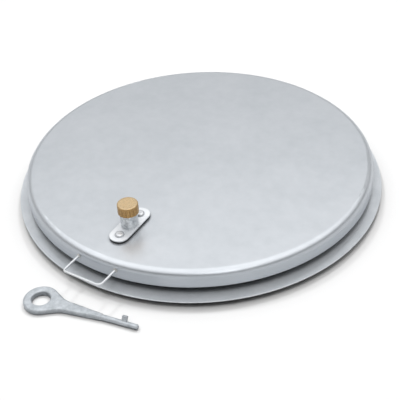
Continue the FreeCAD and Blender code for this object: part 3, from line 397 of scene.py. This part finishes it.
# Bare turned brass: a pale gold face with the tool's rings, a painted highlight on its edges,
# and a side browner with tarnish and darker with painted shade
TURNED_BRASS = MetalFinish("turned_brass", "#D4BD99", "#B69B71", 0.32, 0.06,
                           cloud_mm=7, grain_mm=1.6, lay=Lay.ROUND, axis_mm=LOCK_AXIS,
                           metallic=0.6, grain_share=0.35, bump=0.15,
                           side_tint="#E2CAA0", wear="#F7E6C4")
# Cast bearing bronze, redder and darker than the cap, with a painted highlight on its edges
BEARING_BRONZE = MetalFinish("bearing_bronze", "#B98B55", "#8C6238", 0.4, 0.05,
                             cloud_mm=6, grain_mm=1, lay=Lay.ROUND, axis_mm=LOCK_AXIS,
                             wear="#D8AC74")
# Weld metal, brushed off: rippled, a shade duller and warmer than the sheet
WELD_BEAD = MetalFinish("brushed_weld_bead", "#D2D1CF", "#A9A6A2", 0.38, 0.08,
                        cloud_mm=9, grain_mm=1.5, metallic=0.8, bump=0.2)
# Moulded seal rubber: black, so that the bright plate above it stands off the lid
MOULDED_RUBBER = RubberFinish("moulded_rubber", "#0B0B0C", "#191A1B")


class Palette:
    """The materials of the cover, each built once."""

    def __init__(self) -> None:
        """Start with no material built."""
        self.built: dict[str, Material] = {}

    def material(self, finish: Finish) -> Material:
        """Give the material of a finish, built at its first use.

        Args:
            finish: the finish.

        Returns:
            Its material.
        """
        if finish.name not in self.built:
            self.built[finish.name] = finish.build()
        return self.built[finish.name]


# Pieces made by a rule


def start_tree(name: str, inputs: dict[str, str]) -> tuple[NodeTree, Node]:
    """Start a geometry tree with named inputs.

    Args:
        name: the tree's name.
        inputs: name of each input after the geometry to its socket type.

    Returns:
        The tree and its input node.
    """
    tree = bpy.data.node_groups.new(name, "GeometryNodeTree")
    for word, kind in {"Geometry": "NodeSocketGeometry", **inputs,
                       "Material": "NodeSocketMaterial"}.items():
        tree.interface.new_socket(word, in_out="INPUT", socket_type=kind)
    tree.interface.new_socket("Geometry", in_out="OUTPUT", socket_type="NodeSocketGeometry")
    return tree, add_node(tree, "NodeGroupInput")


def end_tree(tree: NodeTree, start: Node, made: Socket, crease_deg: float = 35.0) -> None:
    """End a geometry tree in real meshes, smooth up to an angle, with their material.

    Args:
        tree: the tree.
        start: its input node.
        made: the geometry made so far.
        crease_deg: edges bent by more than this stay sharp.
    """
    real = add_node(tree, "GeometryNodeRealizeInstances", None, {"Geometry": made})
    smooth = add_node(tree, "GeometryNodeSetShadeSmooth", None,
                      {"Geometry": real.outputs["Geometry"]})
    angle = add_node(tree, "GeometryNodeInputMeshEdgeAngle")
    bent = add_node(tree, "FunctionNodeCompare", {"B": math.radians(crease_deg)},
                    {"A": angle.outputs["Unsigned Angle"]}, operation="GREATER_THAN")
    creased = add_node(tree, "GeometryNodeSetShadeSmooth", {"Shade Smooth": False},
                       {"Geometry": smooth.outputs["Geometry"],
                        "Selection": bent.outputs["Result"]}, domain="EDGE")
    dressed = add_node(tree, "GeometryNodeSetMaterial", None,
                       {"Geometry": creased.outputs["Geometry"],
                        "Material": start.outputs["Material"]})
    add_node(tree, "NodeGroupOutput", None, {"Geometry": dressed.outputs["Geometry"]})


def run_tree(piece: Object, tree: NodeTree, values: dict[str, object]) -> Object:
    """Run a geometry tree on an object and keep the result as its plain mesh.

    Args:
        piece: the object whose mesh the tree starts from.
        tree: the tree.
        values: the value of each named input.

    Returns:
        The same object with its finished mesh and no modifier.
    """
    modifier = piece.modifiers.new(tree.name, "NODES")
    modifier.node_group = tree
    for item in tree.interface.items_tree:
        if item.in_out == "INPUT" and item.name in values:
            modifier[item.identifier] = values[item.name]
    depsgraph = bpy.context.evaluated_depsgraph_get()
    mesh = bpy.data.meshes.new_from_object(piece.evaluated_get(depsgraph), depsgraph=depsgraph)
    piece.modifiers.clear()
    piece.data = mesh
    return piece


@dataclass(frozen=True)
class StampRow:
    """One small form set down along paths, evenly spaced and slightly uneven in size."""

    stamp: Stamp
    spacing_mm: float
    size_mm: Place
    unevenness: float = 0.15
    seed: int = 7

    def make_tree(self) -> NodeTree:
        """Make the tree that sets the form down along the paths.

        Returns:
            The tree.
        """
        tree, start = start_tree(f"{self.stamp.value}_row", {
            "Spacing": "NodeSocketFloat", "Size": "NodeSocketVector",
            "Smallest": "NodeSocketFloat", "Largest": "NodeSocketFloat",
            "Seed": "NodeSocketInt"})
        line = add_node(tree, "GeometryNodeMeshToCurve", None,
                        {"Mesh": start.outputs["Geometry"]})
        spaced = add_node(tree, "GeometryNodeResampleCurve", None,
                          {"Curve": line.outputs["Curve"], "Length": start.outputs["Spacing"]},
                          mode="LENGTH")
        form = add_node(tree, "GeometryNodeMeshIcoSphere", {"Radius": 1.0, "Subdivisions": 2})
        chance = add_node(tree, "FunctionNodeRandomValue", None,
                          {"Min": start.outputs["Smallest"], "Max": start.outputs["Largest"],
                           "Seed": start.outputs["Seed"]}, data_type="FLOAT")
        size = add_node(tree, "ShaderNodeVectorMath", None,
                        {"Vector": start.outputs["Size"], "Scale": chance.outputs["Value"]},
                        operation="SCALE")
        rows = add_node(tree, "GeometryNodeInstanceOnPoints", None,
                        {"Points": spaced.outputs["Curve"], "Instance": form.outputs["Mesh"],
                         "Scale": size.outputs["Vector"]})
        if self.stamp is Stamp.RIPPLE:
            along = add_node(tree, "GeometryNodeInputTangent")
            turned = add_node(tree, "FunctionNodeAlignRotationToVector", None,
                              {"Vector": along.outputs["Tangent"]}, axis="X")
            tree.links.new(turned.outputs["Rotation"], rows.inputs["Rotation"])
        end_tree(tree, start, rows.outputs["Instances"])
        return tree

    def build(self, name: str, paths: list[list[Vector]], closed: bool,
              material: Material) -> Object:
        """Set the form down along some paths.

        Args:
            name: the piece's name.
            paths: the points of each path, in metres.
            closed: whether each path comes back to its first point.
            material: the piece's material.

        Returns:
            The finished piece.
        """
        points: list[Vector] = []
        edges: list[tuple[int, int]] = []
        for path in paths:
            first = len(points)
            points.extend(path)
            edges.extend((row, row + 1) for row in range(first, len(points) - 1))
            if closed:
                edges.append((len(points) - 1, first))
        return run_tree(add_object(name, points, edges, []), self.make_tree(), {
            "Spacing": self.spacing_mm * MM, "Size": metres(self.size_mm),
            "Smallest": 1 - self.unevenness, "Largest": 1 + self.unevenness,
            "Seed": self.seed, "Material": material})


@dataclass(frozen=True)
class ThreadedTube:
    """A tube turned from its outline, with a thread wound round its upper end."""

    axis_mm: Place
    radius_mm: float
    bore_mm: float
    foot_mm: float
    top_mm: float
    pitch_mm: float
    turns: float
    depth_mm: float
    mouth_chamfer_mm: float = 0.4
    end_chamfer_mm: float = 0.3
    runout_turns: float = 1.0
    ridge_turns: float = 0.6
    steps: int = 96
    ridge_corners: int = 3

    def core_mesh(self, name: str) -> Object:
        """Turn the tube's outline, cut down to the thread's root at its upper end.

        Args:
            name: the object's name.

        Returns:
            The object, in the scene.
        """
        root = self.radius_mm - self.depth_mm
        runout = self.top_mm - self.pitch_mm * (self.turns + self.runout_turns)
        outline = [(self.bore_mm + self.mouth_chamfer_mm, self.top_mm),
                   (self.bore_mm, self.top_mm - self.mouth_chamfer_mm),
                   (self.bore_mm, self.foot_mm), (self.radius_mm, self.foot_mm),
                   (self.radius_mm, runout), (root, runout + self.depth_mm),
                   (root, self.top_mm - self.end_chamfer_mm),
                   (root - self.end_chamfer_mm, self.top_mm)]
        rows = len(outline)
        points, faces = [], []
        for step in range(self.steps):
            angle = math.tau * step / self.steps
            here, there = step * rows, (step + 1) % self.steps * rows
            for row, (radius, level) in enumerate(outline):
                points.append(metres((self.axis_mm[0] + radius * math.cos(angle),
                                      self.axis_mm[1] + radius * math.sin(angle), level)))
                after = (row + 1) % rows
                faces.append((here + row, there + row, there + after, here + after))
        return add_object(name, points, [], faces)

    def make_tree(self) -> NodeTree:
        """Make the tree that winds the thread round the tube.

        Returns:
            The tree.
        """
        tree, start = start_tree("thread", {
            "Radius": "NodeSocketFloat", "Depth": "NodeSocketFloat", "Turns": "NodeSocketFloat",
            "Height": "NodeSocketFloat", "Foot": "NodeSocketVector"})
        line = add_node(tree, "GeometryNodeCurveSpiral", {"Resolution": self.steps},
                        {"Rotations": start.outputs["Turns"],
                         "Start Radius": start.outputs["Radius"],
                         "End Radius": start.outputs["Radius"],
                         "Height": start.outputs["Height"]})
        upright = add_node(tree, "GeometryNodeSetCurveNormal", None,
                           {"Curve": line.outputs["Curve"]}, mode="Z_UP")
        section = add_node(tree, "GeometryNodeCurvePrimitiveCircle",
                           {"Resolution": self.ridge_corners},
                           {"Radius": start.outputs["Depth"]})
        ridge = add_node(tree, "GeometryNodeCurveToMesh", {"Fill Caps": True},
                         {"Curve": upright.outputs["Curve"],
                          "Profile Curve": section.outputs["Curve"]})
        placed = add_node(tree, "GeometryNodeTransform", None,
                          {"Geometry": ridge.outputs["Mesh"],
                           "Translation": start.outputs["Foot"]})
        joined = add_node(tree, "GeometryNodeJoinGeometry", None,
                          {"Geometry": start.outputs["Geometry"]})
        tree.links.new(placed.outputs["Geometry"], joined.inputs["Geometry"])
        end_tree(tree, start, joined.outputs["Geometry"])
        return tree

    def build(self, name: str, material: Material) -> Object:
        """Build the tube with its thread.

        Args:
            name: the piece's name.
            material: the piece's material.

        Returns:
            The finished piece.
        """
        foot = self.top_mm - self.pitch_mm * (self.turns + self.ridge_turns)
        return run_tree(self.core_mesh(name), self.make_tree(), {
            "Radius": (self.radius_mm - self.depth_mm) * MM, "Depth": self.depth_mm * MM,
            "Turns": self.turns, "Height": self.pitch_mm * self.turns * MM,
            "Foot": metres((self.axis_mm[0], self.axis_mm[1], foot)), "Material": material})


# Sub-assemblies


class SubAssembly:
    """Pieces that belong together, with the finish of each node of the frame."""

    finishes: dict[Finish, tuple[str, ...]] = {}
    palette: Palette

    def dress(self) -> None:
        """Give every node its finish."""
        for finish, names in self.finishes.items():
            for name in names:
                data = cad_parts[name].data
                data.materials.clear()
                data.materials.append(self.palette.material(finish))
                for face in data.polygons:
                    face.material_index = 0
                log.info("%s: %s", name, finish.name)

    def carry(self, piece: Object, body: Body, slot: str, *replaced: str) -> None:
        """Let a body carry a new piece, and report it.

        Args:
            piece: the piece.
            body: the body.
            slot: not used.
            replaced: the nodes that it stands for.
        """
        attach(piece, body.value)
        if replaced:
            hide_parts(*replaced)
        log.info("%s: %d faces", piece.name, len(piece.data.polygons))

    def build_pieces(self) -> None:
        """Build the pieces that the frame doesn't have."""

    def build(self) -> None:
        """Dress the nodes and build the new pieces."""
        self.dress()
        self.build_pieces()


@dataclass
class CollarFrame(SubAssembly):
    """Collar with its flange, keeper and hinge lugs, which stays on the well."""

    palette: Palette
    collar_mm: float = 403.0
    weld_level_mm: float = 4.7
    weld_out_mm: float = 1.7
    weld_steps: int = 240
    hinge_offset_mm: float = 100.0
    lug_half_mm: float = 16.8
    lug_foot_mm: float = 30.0
    lug_top_mm: float = 58.0
    seam_out_mm: float = 0.8
    collar_ripples: StampRow = StampRow(Stamp.RIPPLE, 2.6, (1.9, 2.3, 2.3))
    lug_ripples: StampRow = StampRow(Stamp.RIPPLE, 2.0, (1.5, 1.6, 1.6), seed=3)

    finishes = {
        MATT_SHEET: ("frame_flange", "frame_collar", "latch_keeper", "hinge_lug_left",
                     "hinge_lug_right"),
        WELD_BEAD: ("frame_weld",),
        TURNED_STEEL: ("hinge_pin_left", "hinge_pin_right", "hinge_clip_left",
                       "hinge_clip_right"),
    }

    def ring_path(self) -> list[Vector]:
        """Follow the middle of the weld's face round the collar."""
        radius = self.collar_mm + self.weld_out_mm
        angles = [math.tau * step / self.weld_steps for step in range(self.weld_steps)]
        return [metres((radius * math.cos(angle), radius * math.sin(angle),
                        self.weld_level_mm)) for angle in angles]

    def lug_paths(self) -> list[list[Vector]]:
        """Follow the upright seams where the hinge lugs meet the collar."""
        paths = []
        for side in (-1, 1):
            for edge in (-1, 1):
                across = side * self.hinge_offset_mm + edge * self.lug_half_mm
                along = math.sqrt(self.collar_mm ** 2 - across ** 2) + self.seam_out_mm
                paths.append([metres((across, along, self.lug_foot_mm)),
                              metres((across, along, self.lug_top_mm))])
        return paths

    def build_pieces(self) -> None:
        """Build the ripples of the welds."""
        bead = self.palette.material(WELD_BEAD)
        self.carry(self.collar_ripples.build("collar_weld_ripples", [self.ring_path()], True,
                                             bead), Body.FRAME, "stainless_sheet")
        self.carry(self.lug_ripples.build("lug_weld_ripples", self.lug_paths(), False, bead),
                   Body.FRAME, "stainless_sheet")


@dataclass
class Lid(SubAssembly):
    """Lid with its seal, rails and hinge arms."""

    palette: Palette
    rail_offset_mm: float = 170.0
    seam_mm: float = 32.5
    rail_half_mm: float = 305.0
    cross_half_mm: float = 122.0
    foot_under_mm: float = 67.0
    spots: StampRow = StampRow(Stamp.SPOT, 61.0, (3.0, 3.0, 0.35), unevenness=0.06)

    finishes = {
        PICKLED_SHEET: ("lid_shell", "gasket_channel", "lid_rail_left", "lid_rail_right",
                        "lid_cross_rail", "hinge_arm_left", "hinge_arm_right"),
        MOULDED_RUBBER: ("lid_gasket",),
    }

    def spot_paths(self) -> list[list[Vector]]:
        """Follow the feet of the rails, where the spot welds are."""
        paths = []
        for seam in (-self.seam_mm, self.seam_mm):
            for side in (-1, 1):
                across = side * self.rail_offset_mm + seam
                paths.append([metres((across, -self.rail_half_mm, self.foot_under_mm)),
                              metres((across, self.rail_half_mm, self.foot_under_mm))])
            paths.append([metres((-self.cross_half_mm, seam, self.foot_under_mm)),
                          metres((self.cross_half_mm, seam, self.foot_under_mm))])
        return paths

    def build_pieces(self) -> None:
        """Build the spot welds of the rails."""
        self.carry(self.spots.build("rail_spot_welds", self.spot_paths(), False,
                                    self.palette.material(WELD_BEAD)),
                   Body.LID, "stainless_sheet")


@dataclass
class Handle(SubAssembly):
    """Lifting handle of one bent rod, welded to the lid's skirt."""

    palette: Palette
    lid_mm: float = 476.0
    half_width_mm: float = 55.0
    turn_deg: float = 1.4
    level_mm: float = 51.0
    ring_mm: float = 4.2
    ring_steps: int = 24
    ripples: StampRow = StampRow(Stamp.RIPPLE, 1.7, (1.2, 1.25, 1.25), seed=11)

    finishes = {
        DRAWN_ROD: ("lift_handle",),
        WELD_BEAD: ("handle_welds",),
    }

    def foot_path(self, side: int) -> list[Vector]:
        """Follow the ring round one foot, on the lid's skirt.

        Args:
            side: -1 for the left foot, 1 for the right one.

        Returns:
            Its points in metres.
        """
        swing = Matrix.Rotation(-math.radians(self.turn_deg), 3, "Z")
        ring = []
        for step in range(self.ring_steps):
            angle = math.tau * step / self.ring_steps
            across = side * self.half_width_mm + self.ring_mm * math.cos(angle)
            along = -math.sqrt(self.lid_mm ** 2 - across ** 2)
            level = self.level_mm + self.ring_mm * math.sin(angle)
            ring.append(swing @ metres((across, along, level)))
        return ring

    def build_pieces(self) -> None:
        """Build the ripples of the welds round the feet."""
        self.carry(self.ripples.build("handle_weld_ripples",
                                      [self.foot_path(-1), self.foot_path(1)], True,
                                      self.palette.material(WELD_BEAD)),
                   Body.LID, "stainless_sheet")


@dataclass
class Lock(SubAssembly):
    """Lock on the lid: plate, tube, spindle and latch under a brass screw cap."""

    palette: Palette
    tube_mm: float = 22.25
    bore_mm: float = 19.65
    foot_mm: float = 54.0
    top_mm: float = 140.5
    pitch_mm: float = 2.309
    thread_turns: float = 9.0
    thread_depth_mm: float = 0.9

    finishes = {
        BRUSHED_PLATE: ("lock_plate",),
        TURNED_STEEL: ("lock_plate_screws", "lock_plate_nuts", "spindle_ring", "latch_washer",
                       "latch_nut", "lock_spindle", "latch_arm", "key_guide_disc"),
        COATED_PIPE: ("lock_tube",),
        BEARING_BRONZE: ("spindle_bush",),
        TURNED_BRASS: ("lock_cap",),
        MOULDED_RUBBER: ("lock_plate_gasket", "cap_seal"),
    }

    def build_pieces(self) -> None:
        """Build the tube with its thread."""
        tube = ThreadedTube(LOCK_AXIS, self.tube_mm, self.bore_mm, self.foot_mm, self.top_mm,
                            self.pitch_mm, self.thread_turns, self.thread_depth_mm)
        self.carry(tube.build("lock_tube_threaded", self.palette.material(COATED_PIPE)),
                   Body.LID, "steel_pipe", "lock_tube")


@dataclass
class Key(SubAssembly):
    """Cast key that lies in front of the cover."""

    palette: Palette

    finishes = {COATED_CASTING: ("key",)}


# Studio


def add_seen(tree: NodeTree) -> Socket:
    """Tell the rays that see the background, straight or in metal, from those that light.

    Args:
        tree: the tree of the floor or the world.

    Returns:
        One for a ray that sees, else zero.
    """
    path = add_node(tree, "ShaderNodeLightPath")
    mirrored = add_node(tree, "ShaderNodeMath", None,
                        {0: path.outputs["Is Glossy Ray"],
                         1: path.outputs["Is Transmission Ray"]}, operation="MAXIMUM")
    seen = add_node(tree, "ShaderNodeMath", None,
                    {0: path.outputs["Is Camera Ray"], 1: mirrored.outputs[0]},
                    operation="MAXIMUM")
    return seen.outputs[0]


@dataclass(frozen=True)
class Lamp:
    """A square soft lamp that faces the cover, placed as seen by the camera."""

    name: str
    round_deg: float
    rise_deg: float
    away_m: float
    size_m: float
    power_w: float
    reach: Reach

    def add(self, turn: Matrix) -> None:
        """Add the lamp.

        Args:
            turn: the turn from the camera's directions to the cover's.
        """
        level, rise = math.radians(self.round_deg), math.radians(self.rise_deg)
        place = turn @ Vector((math.cos(level) * math.cos(rise),
                               math.sin(level) * math.cos(rise), math.sin(rise))) * self.away_m
        data = bpy.data.lights.new(self.name, "AREA")
        data.shape = "SQUARE"
        data.size = self.size_m
        data.energy = self.power_w
        lamp = bpy.data.objects.new(self.name, data)
        lamp.location = place
        lamp.rotation_euler = (-place).to_track_quat("-Z", "Y").to_euler()
        setattr(lamp, self.reach.value, False)
        bpy.context.scene.collection.objects.link(lamp)


@dataclass(frozen=True)
class Studio:
    """Camera, floor and soft light as in the photograph."""

    turn_deg: float = 32.5
    elevation_deg: float = 37.868
    roll_deg: float = -3.479
    distance_mm: float = 2505.8
    target_mm: Place = (0.0, 0.0, 27.0)
    target_pixel: tuple[float, float] = (199.73, 169.66)
    focal_px: float = 900.0
    image_px: float = 400.0
    sensor_mm: float = 36.0
    ground_mm: float = -20.0
    floor_gap_mm: float = 0.2
    floor_mm: float = 14000.0
    floor_seen: str = "#D7D7D7"
    floor_bounce: str = "#A6A6A6"
    sky_horizon: float = 0.02
    sky_zenith: float = 1.53
    sky_start: float = 0.41
    sky_full: float = 0.75
    white_rise: tuple[float, float] = (0.16, 0.26)
    front_dimmed: float = 0.1
    front_spread: tuple[float, float] = (0.4, 0.8)
    lamps: tuple[Lamp, ...] = (
        Lamp("back_left_lamp", 125.0, 66.0, 4.0, 0.35, 37.0, Reach.MATT),
        Lamp("back_right_lamp", 52.0, 66.0, 4.0, 0.35, 37.0, Reach.MATT),
        Lamp("front_lamp", -95.0, 62.0, 4.0, 0.7, 34.0, Reach.MATT),
        Lamp("front_sheen", -80.0, 42.0, 4.0, 1.5, 18.0, Reach.SHEEN),
    )

    def add_camera(self) -> None:
        """Place the camera so that the target falls on its pixel."""
        turn, rise, roll = (math.radians(a) for a in
                            (self.turn_deg, self.elevation_deg, self.roll_deg))
        ahead = Vector((0, math.cos(rise), -math.sin(rise)))
        level = Vector((1, 0, 0))
        upward = Vector((0, math.sin(rise), math.cos(rise)))
        right = level * math.cos(roll) + upward * math.sin(roll)
        up = upward * math.cos(roll) - level * math.sin(roll)
        middle = self.image_px / 2
        across = (self.target_pixel[0] - middle) / self.focal_px * self.distance_mm
        above = (middle - self.target_pixel[1]) / self.focal_px * self.distance_mm
        offset = -ahead * self.distance_mm - right * across - up * above
        swing = Matrix.Rotation(turn, 3, "Z")
        axes = swing @ Matrix((right, up, -ahead)).transposed()
        data = bpy.data.cameras.new("camera")
        data.sensor_width = self.sensor_mm
        data.lens = self.focal_px / self.image_px * self.sensor_mm
        camera = bpy.data.objects.new("camera", data)
        place = (swing @ offset + Vector(self.target_mm)) * MM
        camera.matrix_world = Matrix.Translation(place) @ axes.to_4x4()
        bpy.context.scene.collection.objects.link(camera)
        bpy.context.scene.camera = camera

    def add_floor(self) -> None:
        """Lay a pale floor that looks white, lights less and keeps the object's shadow."""
        half, level = self.floor_mm / 2, self.ground_mm - self.floor_gap_mm
        corners = ((-half, -half), (half, -half), (half, half), (-half, half))
        floor = add_object("floor", [metres((x, y, level)) for x, y in corners], [],
                           [(0, 1, 2, 3)])
        material, tree = start_material("paper_floor")
        colour = add_node(tree, "ShaderNodeMix",
                          {"A": linear(self.floor_bounce), "B": linear(self.floor_seen)},
                          {"Factor": add_seen(tree)}, data_type="RGBA")
        shader = add_node(tree, "ShaderNodeBsdfDiffuse", None,
                          {"Color": colour.outputs["Result"]})
        add_node(tree, "ShaderNodeOutputMaterial", None, {"Surface": shader.outputs["BSDF"]})
        floor.data.materials.append(material)

    def add_sky(self, turn: Matrix) -> None:
        """Light the scene with a dome that is bright overhead, dim low down and in front.

        What sees the dome finds it white at the horizon, behind the floor.

        Args:
            turn: the turn from the camera's directions to the cover's.
        """
        world = bpy.data.worlds.new("studio")
        world.use_nodes = True
        tree = world.node_tree
        tree.nodes.clear()
        direction = add_node(tree, "ShaderNodeTexCoord")
        split = add_node(tree, "ShaderNodeSeparateXYZ", None,
                         {"Vector": direction.outputs["Generated"]})
        rise = add_node(tree, "ShaderNodeMapRange",
                        {"From Min": self.sky_start, "From Max": self.sky_full,
                         "To Min": self.sky_horizon, "To Max": self.sky_zenith},
                        {"Value": split.outputs["Z"]})
        frontward = add_node(tree, "ShaderNodeVectorMath", {1: turn @ Vector((0, -1, 0))},
                             {0: direction.outputs["Generated"]}, operation="DOT_PRODUCT")
        dimmed = add_node(tree, "ShaderNodeMapRange",
                          {"From Min": self.front_spread[0], "From Max": self.front_spread[1],
                           "To Min": 1.0, "To Max": self.front_dimmed},
                          {"Value": frontward.outputs["Value"]})
        dome = add_node(tree, "ShaderNodeMath", None,
                        {0: rise.outputs["Result"], 1: dimmed.outputs["Result"]},
                        operation="MULTIPLY")
        haze = add_node(tree, "ShaderNodeMapRange",
                        {"From Min": self.white_rise[0], "From Max": self.white_rise[1],
                         "To Min": 1.0, "To Max": 0.0}, {"Value": split.outputs["Z"]})
        scenery = add_node(tree, "ShaderNodeMath", None,
                           {0: dome.outputs[0], 1: haze.outputs["Result"]}, operation="MAXIMUM")
        strength = add_node(tree, "ShaderNodeMix", None,
                            {"Factor": add_seen(tree), "A": dome.outputs[0],
                             "B": scenery.outputs[0]})
        shader = add_node(tree, "ShaderNodeBackground", {"Color": (1, 1, 1, 1)},
                          {"Strength": strength.outputs["Result"]})
        add_node(tree, "ShaderNodeOutputWorld", None, {"Surface": shader.outputs["Background"]})
        bpy.context.scene.world = world

    def build(self) -> None:
        """Add the camera, the floor and the lights."""
        bpy.context.scene.view_settings.view_transform = "Standard"
        self.add_camera()
        self.add_floor()
        turn = Matrix.Rotation(math.radians(self.turn_deg), 3, "Z")
        self.add_sky(turn)
        for lamp in self.lamps:
            lamp.add(turn)


def main() -> None:
    """Build the dressed cover and the studio round it."""
    logging.basicConfig(level=logging.INFO, format="%(message)s")
    Studio().build()
    palette = Palette()
    for part in (CollarFrame(palette), Lid(palette), Handle(palette), Lock(palette),
                 Key(palette)):
        part.build()
        log.info("%s is done", type(part).__name__)


if __name__ == "__main__":
    main()
